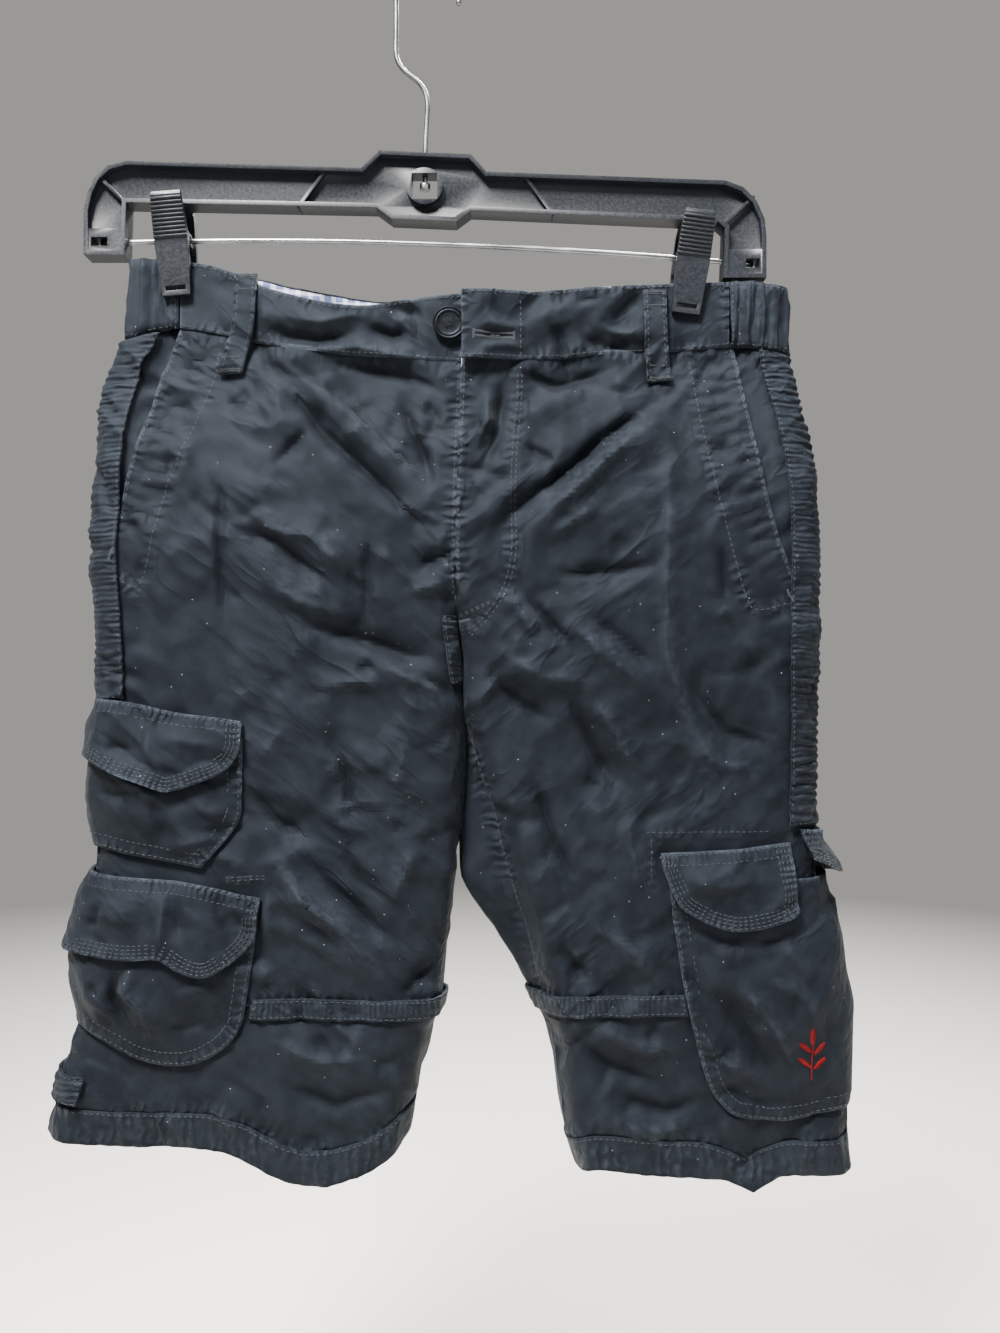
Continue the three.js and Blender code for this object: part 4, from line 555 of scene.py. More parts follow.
def smooth_copy(name, fine):
    mesh = nodes[name].data.copy()
    bm = bmesh.new()
    bm.from_mesh(mesh)
    bmesh.ops.remove_doubles(bm, verts=bm.verts, dist=0.02 * MM)
    bmesh.ops.join_triangles(bm, faces=bm.faces, angle_face_threshold=0.8, angle_shape_threshold=2.6)
    sharp = bm.edges.layers.float.new("crease_edge")
    for edge in bm.edges:
        if len(edge.link_faces) == 2 and edge.calc_face_angle(0) > RIM_ANGLE:
            edge[sharp] = 1.0
    bm.to_mesh(mesh)
    bm.free()
    draft = new_object("draft", mesh)
    smoother = draft.modifiers.new("smooth", "SUBSURF")
    smoother.levels = smoother.render_levels = fine
    dense = bpy.data.meshes.new_from_object(draft.evaluated_get(bpy.context.evaluated_depsgraph_get()))
    bpy.data.objects.remove(draft)
    return new_object(f"sewn_{name}", dense)


def put_value(made, name, values):
    layer = made.data.attributes.new(name, "FLOAT", "POINT")
    layer.data.foreach_set("value", np.asarray(values, dtype=np.float32))


# %% [markdown]
# The rim of a piece's outer face, walked round in order. Seams pucker and wear along it, and rows
# of stitches follow it.

# %% Rims
def rim_walks(made):
    """Ordered rims of the outer face, as pairs of a vertex and the face beside it."""
    bm = bmesh.new()
    bm.from_mesh(made.data)
    bm.normal_update()
    sharp = [e for e in bm.edges if len(e.link_faces) == 2 and e.calc_face_angle(0) > RIM_ANGLE]
    if not sharp:
        bm.free()
        return []
    outs = outward(np.array([(e.verts[0].co + e.verts[1].co) / 2 for e in sharp]) / MM)
    ways, links = {}, {}
    for edge, out in zip(sharp, outs):
        facing = Vector(out)
        wall = max(edge.link_faces, key=lambda f: f.normal.dot(facing))
        if wall.normal.dot(facing) < 0.55:
            continue
        ways[edge.index] = (edge, wall)
        for v in edge.verts:
            links.setdefault(v.index, []).append(edge.index)
    walks, used = [], set()
    for start in ways:
        if start in used:
            continue
        edge, wall = ways[start]
        vert, walk = edge.verts[0], []
        while edge.index not in used:
            used.add(edge.index)
            walk.append((vert.index, wall.index))
            vert = edge.other_vert(vert)
            following = [i for i in links[vert.index] if i not in used]
            if not following:
                break
            edge, wall = ways[following[0]]
        if len(walk) > 6:
            walks.append((np.array(walk), vert.index == walk[0][0]))
    bm.free()
    return walks


def rim_rows(made, walks):
    """Each rim at even steps: place, normal, way into the cloth and distance along."""
    points = points_of(made)
    centres = vectors_of(made.data.polygons, "center") / MM
    normals = vectors_of(made.data.polygons, "normal")
    rows = []
    for walk, ring in walks:
        here, wall = points[walk[:, 0]], walk[:, 1]
        after = np.roll(here, -1, axis=0)
        along = after - here
        along /= np.maximum(np.linalg.norm(along, axis=1), 1e-6)[:, None]
        into = centres[wall] - (here + after) / 2
        into -= along * (into * along).sum(1)[:, None]
        into /= np.maximum(np.linalg.norm(into, axis=1), 1e-6)[:, None]
        table = np.column_stack([here, normals[wall], into])
        table = np.vstack([table, table[:1]]) if ring else table[:-1]
        far = np.concatenate([[0], np.cumsum(np.linalg.norm(np.diff(table[:, :3], axis=0), axis=1))])
        at = np.arange(0, far[-1], RIM_STEP)
        row = np.stack([np.interp(at, far, table[:, k]) for k in range(9)], 1)
        for k in (3, 6):
            row[:, k:k + 3] /= np.maximum(np.linalg.norm(row[:, k:k + 3], axis=1), 1e-6)[:, None]
        rows.append(np.column_stack([row, at]))
    return rows


# %% [markdown]
# Gathered pieces pucker over their whole width, the others only near their rims and stitched rows.

# %% Puckers
PUCKER_REACH = {"flap": 9, "panel": 9, "leg": 8, "waistband": 8, "belt": 4}
OTHER_REACH = 8
# Upright rims slant less than this, and the centre back ones lie this near the middle
UPRIGHT_RIM, CENTRE_REACH = 0.6, 14
GATHERED = [
    {"match": "side_seam", "axis": 2, "pitch": 4.5, "height": 0.75},
    {"match": "rise_seam", "axis": 2, "pitch": 4.2, "height": 0.5},
    {"match": "seat_seam", "axis": 2, "pitch": 5.0, "height": 0.5},
    {"match": "knee_seam", "axis": 0, "pitch": 3.1, "height": 0.45},
    {"match": "waistband_side", "axis": 0, "pitch": 7.5, "height": 1.5},
    {"match": "hem", "axis": 0, "pitch": 9.0, "height": 0.55},
]


def gathers_of(name):
    return next((row for row in GATHERED if row["match"] in name), None)


def seam_values(made, name, rows):
    """How near each point is to a seam, a top and a bottom rim, its way past the rim, and its run along."""
    points = points_of(made)
    gathers = gathers_of(name)
    if gathers:
        none = np.zeros(len(points))
        return np.full(len(points), 0.8), none, none, 0 * points, points[:, gathers["axis"]]
    samples = np.vstack(rows)
    tree = KDTree(len(samples))
    for i, row in enumerate(samples):
        tree.insert(row[:3], i)
    tree.balance()
    reach = next((size for key, size in PUCKER_REACH.items() if key in name), OTHER_REACH)
    near, top, bottom, along = np.zeros((4, len(points)))
    past = 0 * points
    for k, point in enumerate(points):
        _, i, away = tree.find(point)
        near[k] = max(0.0, 1 - away / reach)
        top[k] = near[k] if samples[i, 8] < TOP_RIM else 0
        bottom[k] = near[k] if samples[i, 8] > BOTTOM_RIM else 0
        at_centre = abs(samples[i, 0] - MIDDLE_X) < CENTRE_REACH
        upright = abs(samples[i, 8]) < UPRIGHT_RIM and ("waist" not in name or at_centre)
        past[k] = -near[k] ** 2 * samples[i, 6:9] if upright or "lower_leg" in name else 0
        along[k] = samples[i, 9]
    facing = outward(points)[:, 1] < -0.3
    for line in LINES:
        if name in line["on"] and line["pucker"]:
            away, _, run, _ = path_at(points[:, 0], points[:, 2], line["path"])
            beside = 0.8 * np.clip(1 - away / line["pucker"], 0, 1)
            stronger = facing & (beside > near)
            near, along = np.where(stronger, beside, near), np.where(stronger, run, along)
    return near, top, bottom, past, along


def gathered_relief(name, x, z, along):
    gathers = gathers_of(name)
    if not gathers:
        return 0.0
    phase = along + 1.4 * seeded_noise(x, z, 11, 41) + 0.9 * seeded_noise(x, z, 5, 42)
    swell = 0.55 + 0.45 * seeded_noise(x, z, 13, 43)
    return gathers["height"] * swell * np.sin(2 * math.pi * phase / gathers["pitch"])


# %% Creased cloth
STANDS = {"flap": 0.7, "rise": -0.7, "side_seam": 0.6}
BACK_SHIFT = 230
# Tops of the front panels run on under the waistband, and other pieces run past their seams
TUCKED_UNDER = 2.8
PAST_RIMS = {"back_panel": 2.4, "waistband_back": 2.4, "waistband_facing": 2.4, "lower_leg": 1.6}
# Lower legs end under their hems, and the bands' ends run on under the pockets
UNDER_HEM = 0.9
REACH_ON = {
    "side_seam_band_right": {"axis": 2, "start": -374, "far": -3.5},
    "side_seam_band_left": {"axis": 2, "start": -438, "far": -3.5},
    "knee_seam_band_left": {"axis": 0, "start": 119, "far": 3.5},
}
REACH_FADE = 9
# The left thigh's inner edge leans on the right one just under the crotch
LEAN_IN = {"match": "left", "x": 60, "fade": 35, "low": -505, "high": -362, "soft": 24, "push": 4.4}


def lean_in(name, x, z):
    """How far the left thigh's inner edge moves over to the right one."""
    window = ease((z - LEAN_IN["low"]) / LEAN_IN["soft"]) * ease((LEAN_IN["high"] - z) / LEAN_IN["soft"])
    return window * ease((LEAN_IN["x"] - x) / LEAN_IN["fade"]) * LEAN_IN["push"] * (LEAN_IN["match"] in name)


def crease_cloth(made, name, near, top, bottom, past, along):
    """Moves a piece's points by its creases and gathers, and stores what its finish needs."""
    points = points_of(made)
    out = outward(points)
    x, z = points[:, 0], points[:, 2]
    wx = x + WANDER * seeded_noise(x, z, 19, 5)
    wz = z + WANDER * seeded_noise(x, z, 23, 6)
    front = ease((-out[:, 1] - 0.1) / 0.8)
    back = ease((out[:, 1] - 0.1) / 0.8)
    front_rise, front_wear_and_highlight, front_sharp = creases_over(wx, wz, CREASES["front"], LINE_ROUND["front"])
    back_rise, back_wear_and_highlight, back_sharp = creases_over(wx, wz, CREASES["back"], LINE_ROUND["back"])
    facing = ease(0.5 - 0.8 * out[:, 1])
    net = facing * crumpled_net(x, z) + (1 - facing) * crumpled_net(x, z, BACK_SHIFT)
    rise = front_rise * front + back_rise * back + net
    # The paler crease tops stand partly for wear and partly for a painted highlight
    worn = front_wear_and_highlight * front + back_wear_and_highlight * back
    own, own_wear_and_highlight, own_sharp = creases_over(wx, wz, OWN_CREASES.get(name, []), LINE_ROUND["front"])
    rise += FOLD_DEPTH * own * front
    worn = np.maximum(worn, own_wear_and_highlight * front)
    sharp = front_sharp * front + back_sharp * back
    sharp = np.where(np.abs(own_sharp * front) > np.abs(sharp), own_sharp * front, sharp) * stillness(x, z)
    rise = rise * stillness(x, z) + gathered_relief(name, x, z, along)
    rise += sum(lift for part, lift in STANDS.items() if part in name)
    if "lower_leg" in name:
        rise -= UNDER_HEM * bottom**2
    points += out * rise[:, None]
    points[:, 0] -= lean_in(name, x, z)
    points += past * sum(far for part, far in PAST_RIMS.items() if part in name)
    if name in REACH_ON:
        row = REACH_ON[name]
        beyond = np.sign(row["far"]) * (points[:, row["axis"]] - row["start"])
        points[:, row["axis"]] += row["far"] * ease(beyond / REACH_FADE)
    if "front_panel" in name:
        points[:, 2] += TUCKED_UNDER * top**2
    set_points(made, points)
    # Stored for the finish: paler crease tops, partly wear and partly a painted highlight
    put_value(made, "crease_wear_and_highlight", np.clip(worn, 0, 1))
    put_value(made, "crease_line", sharp)
    put_value(made, "seam_near", near)
    put_value(made, "seam_along", along * MM)
    made.data.update()


rims = {}
for row in CLOTH:
    name = row["piece"]
    made = smooth_copy(name, row["fine"] - (0))
    walks = rim_walks(made)
    crease_cloth(made, name, *seam_values(made, name, rim_rows(made, walks)))
    made.data.shade_smooth()
    made.data.set_sharp_from_angle(angle=RIM_ANGLE)
    rims[name] = rim_rows(made, walks)
    shorts[name] = made
print("cloth faces", sum(len(o.data.polygons) for o in shorts.values()))

# %% [markdown]
# Finishes. Every pattern follows object coordinates or the values stored on the cloth.

# %% Material helpers


def finish_named(name):
    made = bpy.data.materials.new(name)
    made.use_nodes = True
    return made, made.node_tree, made.node_tree.nodes["Principled BSDF"]


def put(tree, kind, values=None, **settings):
    """A node with its settings, and its inputs set or linked."""
    made = tree.nodes.new("ShaderNode" + kind)
    for key, value in settings.items():
        setattr(made, key, value)
    for key, value in (values or {}).items():
        if isinstance(value, bpy.types.NodeSocket):
            tree.links.new(value, made.inputs[key])
        else:
            made.inputs[key].default_value = value
    return made


def blend(tree, factor, a, b, kind="MIX"):
    return put(tree, "Mix", {0: factor, 6: a, 7: b}, data_type="RGBA", blend_type=kind).outputs[2]


def maths(tree, kind, *values):
    return put(tree, "Math", dict(enumerate(values)), operation=kind).outputs[0]


def times(tree, product, *others):
    for other in others:
        product = maths(tree, "MULTIPLY", product, other)
    return product


def span(tree, value, low, high, to_low=0.0, to_high=1.0):
    made = put(tree, "MapRange", {"Value": value, "From Min": low, "From Max": high,
                                  "To Min": to_low, "To Max": to_high})
    return made.outputs["Result"]


def noise(tree, place, scale, detail=3.0, rough=0.55, distort=0.0):
    made = put(tree, "TexNoise", {"Vector": place, "Scale": scale, "Detail": detail,
                                  "Roughness": rough, "Distortion": distort})
    return made.outputs["Fac"]


def ridged(tree, place, scale):
    """Noise with sharp-topped ridges."""
    level = maths(tree, "MULTIPLY_ADD", noise(tree, place, scale, 2.0, 0.5, 0.15), 4.0, -2.0)
    rise = maths(tree, "SUBTRACT", 1.0, maths(tree, "ABSOLUTE", level))
    return maths(tree, "POWER", maths(tree, "MAXIMUM", rise, 0.0), 2.0)


def bump(tree, height, distance, normal=None, strength=1.0):
    made = put(tree, "Bump", {"Height": height, "Distance": distance, "Strength": strength})
    if normal is not None:
        tree.links.new(normal, made.inputs["Normal"])
    return made.outputs["Normal"]


def stored(tree, name):
    return put(tree, "Attribute", attribute_name=name, attribute_type="GEOMETRY").outputs["Fac"]


# %% Washed black twill
CLOTH_DARK, CLOTH_LIGHT = (0.0026, 0.0034, 0.0050, 1), (0.0062, 0.0077, 0.0107, 1)
# The worn colour serves the random worn patches and also the crease ridge lines, which it paints paler as partly
# wear and partly a painted highlight
CLOTH_WORN_AND_HIGHLIGHT, CLOTH_PALE = (0.0150, 0.0178, 0.0230, 1), (0.0435, 0.0534, 0.0690, 1)
# Near-black painted shade for the trough lines of the creases
CLOTH_CREASE_SHADE = (0.00078, 0.00102, 0.0015, 1)
CLOTH_SURFACE = {
    "Roughness": 0.62, "Specular IOR Level": 0.085, "Specular Tint": (0.70, 0.84, 1.0, 1),
    "Sheen Weight": 0.03, "Sheen Roughness": 0.45, "Sheen Tint": (0.75, 0.82, 0.95, 1),
}
# Woven diagonal, 0.9 mm from rib to rib
RIBS = {"scale": 350.0, "turn": (0.35, 0.9, 0.35), "depth": 0.00012}
LINT = {"scale": 165.0, "size": 0.048, "thinned": 0.55, "cover": 0.75, "tone": (0.24, 0.26, 0.28, 1)}
# Small wrinkles are turned to the hang of the legs and drawn out along it
HANG = {"turn": (0, 0.73, 0), "stretch": (2.6, 1, 1), "apart": 0.5}


def washed_tone(tree, place):
    """Dark cloth with wide lighter clouds and small worn patches."""
    wide = span(tree, noise(tree, place, 16.0, 4.0, 0.6), 0.32, 0.7)
    patches = span(tree, noise(tree, place, 95.0, 6.0, 0.68, 0.4), 0.42, 0.74)
    tone = blend(tree, wide, CLOTH_DARK, CLOTH_LIGHT)
    return blend(tree, times(tree, patches, 0.42), tone, CLOTH_WORN_AND_HIGHLIGHT)


def seam_puckers(tree, place, near, pitch):
    """Broken ripples across a seam, strongest at the rim."""
    turns = times(tree, stored(tree, "seam_along"), 2 * math.pi / pitch)
    phase = maths(tree, "ADD", turns, times(tree, noise(tree, place, 120.0, 2.0), 9.0))
    ripple = maths(tree, "MULTIPLY_ADD", maths(tree, "SINE", phase), 0.5, 0.5)
    broken = span(tree, noise(tree, place, 55.0, 2.0), 0.35, 0.6)
    return times(tree, ripple, broken, maths(tree, "POWER", near, 1.2))


def rubbed_and_highlit_share(tree, near, pucker, scuff):
    """How pale the cloth is: rubbed on its rims and ripples, and on its crease tops partly rubbed and partly a
    painted highlight.
    """
    rim = times(tree, maths(tree, "POWER", near, 12.0), maths(tree, "MULTIPLY_ADD", scuff, 0.6, 0.35))
    ripples = times(tree, pucker, 0.30, scuff)
    # Crease tops paler: partly rubbed, partly a painted highlight
    tops = times(tree, stored(tree, "crease_wear_and_highlight"), scuff, 0.16)
    return maths(tree, "MINIMUM", maths(tree, "ADD", maths(tree, "ADD", rim, ripples), tops), 0.9)


def with_lint(tree, place, tone):
    """The tone with a few pale flecks."""
    flecks = put(tree, "TexVoronoi", {"Vector": place, "Scale": LINT["scale"]}).outputs
    draw = put(tree, "SeparateColor", {"Color": flecks["Color"]}).outputs[0]
    keep = maths(tree, "GREATER_THAN", draw, LINT["thinned"])
    speck = maths(tree, "LESS_THAN", flecks["Distance"], LINT["size"])
    return blend(tree, times(tree, speck, keep, LINT["cover"]), tone, LINT["tone"])


def hung_place(tree, place):
    """Coordinates folded at the middle line, so that the wrinkles hang outwards on both legs."""
    axes = put(tree, "SeparateXYZ", {"Vector": place}).outputs
    across = maths(tree, "SUBTRACT", axes[0], MIDDLE_X * MM)
    other_leg = maths(tree, "GREATER_THAN", across, 0.0)
    apart = maths(tree, "MULTIPLY_ADD", other_leg, HANG["apart"], axes[1])
    inward = times(tree, maths(tree, "ABSOLUTE", across), -1.0)
    folded = put(tree, "CombineXYZ", {0: inward, 1: apart, 2: axes[2]}).outputs[0]
    lie = {"Vector": folded, "Rotation": HANG["turn"], "Scale": HANG["stretch"]}
    return put(tree, "Mapping", lie, vector_type="TEXTURE").outputs["Vector"]


def wrinkles(tree, place, crest, hollow):
    """Bumps laid one on another: fuzz, sharp wrinkles, pressed facets and the creases' own lines."""
    pressed = span(tree, noise(tree, place, 17.0, 2.0), 0.42, 0.62, 0.15, 1.0)
    hung = hung_place(tree, place)
    relief = bump(tree, noise(tree, place, 150.0, 4.0, 0.6), 0.00045)
    for scale, depth in ((85.0, 0.0006), (38.0, 0.0014)):
        relief = bump(tree, times(tree, ridged(tree, hung, scale), pressed), depth, relief)
    drift = put(tree, "TexNoise", {"Vector": hung, "Scale": 36.0, "Detail": 2.0}).outputs["Color"]
    drifted = put(tree, "VectorMath", {0: drift, 1: (0.022, 0.022, 0.022), 2: hung}, operation="MULTIPLY_ADD")
    cells = put(tree, "TexVoronoi", {"Vector": drifted.outputs[0], "Scale": 40.0}).outputs["Distance"]
    relief = bump(tree, times(tree, maths(tree, "POWER", cells, 1.6), pressed), 0.0036, relief)
    return bump(tree, maths(tree, "SUBTRACT", times(tree, crest, 0.6), hollow), 0.0013, relief)


def twill(name, pitch, seam_depth):
    """Cotton twill, washed pale on its seams, with a little lint. Crease tops are paler, partly from wear and partly
    a painted highlight, and crease troughs get a painted shade.
    """
    made, tree, surface = finish_named(name)
    place = put(tree, "TexCoord").outputs["Object"]
    turned = put(tree, "Mapping", {"Vector": place, "Rotation": RIBS["turn"]}).outputs["Vector"]
    ribs = put(tree, "TexWave", {"Vector": turned, "Scale": RIBS["scale"], "Distortion": 0.6, "Detail": 1.0})
    weave = ribs.outputs["Fac"]
    near, line = stored(tree, "seam_near"), stored(tree, "crease_line")
    scuff = span(tree, noise(tree, place, 210.0, 3.0, 0.7), 0.38, 0.66)
    pucker = seam_puckers(tree, place, near, pitch)
    hollow = maths(tree, "POWER", maths(tree, "MAXIMUM", times(tree, line, -1.0), 0.0), 1.5)
    crest = maths(tree, "POWER", maths(tree, "MAXIMUM", line, 0.0), 2.5)
    tone = blend(tree, rubbed_and_highlit_share(tree, near, pucker, scuff), washed_tone(tree, place), CLOTH_PALE)
    tone = blend(tree, times(tree, weave, 0.16), tone, CLOTH_LIGHT, "ADD")
    # Painted shade: the trough lines of the creases are darkened toward near-black
    tone = blend(tree, times(tree, hollow, 0.7), tone, CLOTH_CREASE_SHADE)
    # Crease ridge lines paler: partly wear, partly a painted highlight
    tone = blend(tree, times(tree, crest, scuff, 0.4), tone, CLOTH_WORN_AND_HIGHLIGHT)
    tree.links.new(with_lint(tree, place, tone), surface.inputs["Base Color"])
    for socket, value in CLOTH_SURFACE.items():
        surface.inputs[socket].default_value = value
    seams = bump(tree, pucker, seam_depth, wrinkles(tree, place, crest, hollow))
    tree.links.new(bump(tree, weave, RIBS["depth"], seams), surface.inputs["Normal"])
    return made


twill_plain = twill("washed black twill", 0.0052, 0.0013)
twill_ruched = twill("washed black twill, gathered seam", 0.0027, 0.0006)
twill_folded = twill("washed black twill, flap", 0.0034, 0.0013)


# %% Checked facing
def checked_facing():
    made, tree, surface = finish_named("blue and white check")
    place = put(tree, "TexCoord").outputs["Object"]
    axes = put(tree, "SeparateXYZ", {"Vector": place}).outputs

    def stripe(axis, pitch, share):
        turns = maths(tree, "DIVIDE", axes[axis], pitch)
        return maths(tree, "LESS_THAN", maths(tree, "FRACT", turns), share)

    upright, level = stripe("X", 0.0063, 0.6), stripe("Z", 0.0058, 0.62)
    both = times(tree, maths(tree, "ADD", upright, level), 0.5)
    tone = blend(tree, both, (0.66, 0.68, 0.74, 1), (0.07, 0.085, 0.24, 1))
    dirt = span(tree, noise(tree, place, 90.0, 4.0), 0.3, 0.75)
    tone = blend(tree, times(tree, dirt, 0.25), tone, (0.25, 0.26, 0.32, 1))
    tree.links.new(tone, surface.inputs["Base Color"])
    surface.inputs["Roughness"].default_value = 0.85
    threads = put(tree, "TexWave", {"Vector": place, "Scale": 420.0, "Distortion": 0.3})
    tree.links.new(bump(tree, threads.outputs["Fac"], 0.0001), surface.inputs["Normal"])
    return made


facing_finish = checked_facing()


# %% Plastic, steel, gunmetal and thread
def plain_finish(name, colour, rough, metal=0.0, grain=0.0, scale=900.0, shine=0.5):
    made, tree, surface = finish_named(name)
    place = put(tree, "TexCoord").outputs["Object"]
    mottle = noise(tree, place, scale, 3.0)
    worn = tuple(min(c * 1.35 + 0.004, 1) for c in colour)
    tree.links.new(blend(tree, span(tree, mottle, 0.4, 0.7), (*colour, 1), (*worn, 1)), surface.inputs["Base Color"])
    surface.inputs["Metallic"].default_value = metal
    surface.inputs["Specular IOR Level"].default_value = shine
    tree.links.new(span(tree, mottle, 0.3, 0.7, rough - 0.05, rough + 0.07), surface.inputs["Roughness"])
    tree.links.new(bump(tree, mottle, grain), surface.inputs["Normal"])
    return made


plastic = plain_finish("dark satin plastic", (0.0045, 0.006, 0.009), 0.4, 0.0, 0.00001, 700.0, 0.27)
steel = plain_finish("bright drawn steel", (0.2, 0.205, 0.215), 0.3, 1.0, 0.0, 60.0)
gunmetal = plain_finish("dark plated metal", (0.0065, 0.0075, 0.0095), 0.5, 1.0, 0.00003, 800.0)
thread_dark = plain_finish("black thread", (0.02, 0.0235, 0.029), 0.75, 0.0, 0.0001, 1500.0, 0.3)
thread_grey = plain_finish("worn pale thread", (0.16, 0.17, 0.18), 0.75, 0.0, 0.0001, 1500.0)
thread_red = plain_finish("red embroidery thread", (0.085, 0.0006, 0.0018), 0.55, 0.0, 0.0001, 1500.0, 0.1)

for name, made in shorts.items():
    if "facing" in name and "waistband" in name:
        look = facing_finish
    elif "flap" in name:
        look = twill_folded
    elif "band" in name and "waistband_front" not in name and "waistband_back" not in name:
        look = twill_ruched
    else:
        look = twill_plain
    dress(made.data, look)

# %% [markdown]
# Stitches: one small thread shape, copied along rims and drawn lines and joined into one mesh
# per kind of thread.

# %% Stitch shape and rows
STITCH_LENGTH = 2.3
STITCH_THICK = 0.55
STITCH_RAISED = 0.12 * STITCH_THICK
# How far ahead a drawn row looks for its direction, and the widest jump between two hits
LOOK_AHEAD, WIDEST_JUMP = 0.8, 3


def thread_shape():
    bm = bmesh.new()
    bmesh.ops.create_icosphere(bm, subdivisions=1, radius=0.5)
    points = np.array([v.co for v in bm.verts])
    faces = np.array([[v.index for v in f.verts] for f in bm.faces])
    bm.free()
    return points, faces


SHAPE, SHAPE_FACES = thread_shape()


def stitches_mesh(name, stitches, look):
    """One mesh of many stitches. Each is a place, a direction, a normal, a length and a thickness."""
    corners, faces = [], []
    for k, (place, along, normal, length, thick) in enumerate(stitches):
        along = along / max(np.linalg.norm(along), 1e-9)
        across = np.cross(normal, along)
        across = across / max(np.linalg.norm(across), 1e-9)
        up = np.cross(along, across)
        axes = np.stack([along * length, across * thick, up * thick * 0.8])
        corners.append(SHAPE @ axes + place)
        faces.append(SHAPE_FACES + k * len(SHAPE))
    mesh = bpy.data.meshes.new(name)
    mesh.from_pydata((np.vstack(corners) * MM).tolist(), [], np.vstack(faces).tolist())
    mesh.materials.append(look)
    mesh.shade_smooth()
    return new_object(name, mesh)


def edge_kind(into):
    """Which edge of its piece a rim step lies on, from the way into the cloth."""
    if into[2] < TOP_RIM:
        return "top"
    return "bottom" if into[2] > BOTTOM_RIM else "side"


def rim_row(name, edges, inset, pitch, seed):
    """Stitches along a piece's rim, an inset in from it."""
    made = shorts[name]
    tree = BVHTree.FromObject(made, bpy.context.evaluated_depsgraph_get())
    rng = np.random.default_rng(seed)
    row = []
    for loop in rims[name]:
        step = max(int(round(pitch / RIM_STEP)), 1)
        for i in range(0, len(loop) - 1, step):
            here, normal, into = loop[i, :3], loop[i, 3:6], loop[i, 6:9]
            if edge_kind(into) not in edges:
                continue
            along = loop[(i + 1) % len(loop), :3] - here
            if np.linalg.norm(along) > 3 * RIM_STEP or np.linalg.norm(along) < 1e-4:
                continue
            guess = Vector((here + into * inset + normal * 0.3) * MM)
            spot, face_normal, _, away = tree.find_nearest(guess, 4 * MM)
            if spot is None or face_normal.dot(Vector(normal)) < 0.4:
                continue
            upward = np.array(face_normal)
            place = np.array(spot) / MM + upward * STITCH_RAISED
            slip = rng.normal(0, 0.08, 3)
            lie = along / np.linalg.norm(along) + slip
            row.append((place + slip * 0.5, lie, upward, STITCH_LENGTH, STITCH_THICK))
    return row


front_trees = {}


def front_hit(x, z, names):
    """The nearest outer surface straight behind a point of the front view."""
    best = None
    for name in names:
        if name not in front_trees:
            front_trees[name] = BVHTree.FromObject(shorts[name], bpy.context.evaluated_depsgraph_get())
        start = Vector((x, -200, z)) * MM
        spot, normal, _, far = front_trees[name].ray_cast(start, Vector((0, 1, 0)))
        if spot is not None and (best is None or far < best[2]):
            best = (np.array(spot) / MM, np.array(normal), far)
    return best


def line_row(path, names, pitch, offset=0.0):
    """Stitches along a line drawn in the front view."""
    path = rounded(np.array(path, float))
    far = np.concatenate([[0], np.cumsum(np.hypot(*np.diff(path, axis=0).T))])
    row = []
    for at in np.arange(pitch / 2, far[-1] - LOOK_AHEAD, pitch):
        x, z = np.interp(at, far, path[:, 0]), np.interp(at, far, path[:, 1])
        ahead = at + LOOK_AHEAD
        x2, z2 = np.interp(ahead, far, path[:, 0]), np.interp(ahead, far, path[:, 1])
        ux, uz = np.array([x2 - x, z2 - z]) / max(math.hypot(x2 - x, z2 - z), 1e-9)
        x, z = x - uz * offset, z + ux * offset
        first, second = front_hit(x, z, names), front_hit(x + ux, z + uz, names)
        if first is None or second is None or np.linalg.norm(second[0] - first[0]) > WIDEST_JUMP:
            continue
        place = first[0] + first[1] * STITCH_RAISED
        row.append((place, second[0] - first[0], first[1], STITCH_LENGTH, STITCH_THICK))
    return row


def rounded(path):
    """The line with its corners cut twice."""
    for _ in range(2):
        cut = [path[0]]
        for a, b in zip(path, path[1:]):
            cut += [a * 0.75 + b * 0.25, a * 0.25 + b * 0.75]
        path = np.array(cut + [path[-1]])
    return path


# %% Rows along rims
RIM_ROWS = [
    {"match": "flap", "edges": ("top", "bottom", "side"), "insets": (1.4,), "pitch": 3},
    {"match": "flap", "edges": ("bottom", "side"), "insets": (3.3, 5.2, 7.1), "pitch": 3},
    {"match": "flap", "edges": ("top",), "insets": (6.5,), "pitch": 3},
    {"match": "pocket_body", "edges": ("bottom", "side"), "insets": (1.5, 7.0), "pitch": 3},
    {"match": "seam_band", "edges": ("top", "bottom", "side"), "insets": (1.3,), "pitch": 3},
    {"match": "waistband_front", "edges": ("top", "bottom"), "insets": (1.6,), "pitch": 3},
    {"match": "waistband_back", "edges": ("top", "bottom"), "insets": (1.6,), "pitch": 3},
    {"match": "waistband_side", "edges": ("top", "bottom", "side"), "insets": (1.6,), "pitch": 3},
    {"match": "hem", "edges": ("top",), "insets": (1.6,), "pitch": 3},
    {"match": "belt_loop", "edges": ("side",), "insets": (1.7,), "pitch": 3},
    {"match": "belt_loop", "edges": ("top", "bottom"), "insets": (1.2, 2.2, 8.5), "pitch": 1},
    {"match": "front_panel", "edges": ("side",), "insets": (1.5,), "pitch": 3},
]
threads = {"dark": [], "grey": [], "red": []}
for row in RIM_ROWS:
    for name in shorts:
        if row["match"] in name:
            for inset in row["insets"]:
                threads["dark"] += rim_row(name, row["edges"], inset, row["pitch"], len(name))

# %% Rows along drawn lines
ROW_PITCH = 3.0
for line in LINES:
    for offset in line["offsets"]:
        threads["dark"] += line_row(line["path"], line["on"], ROW_PITCH, offset)

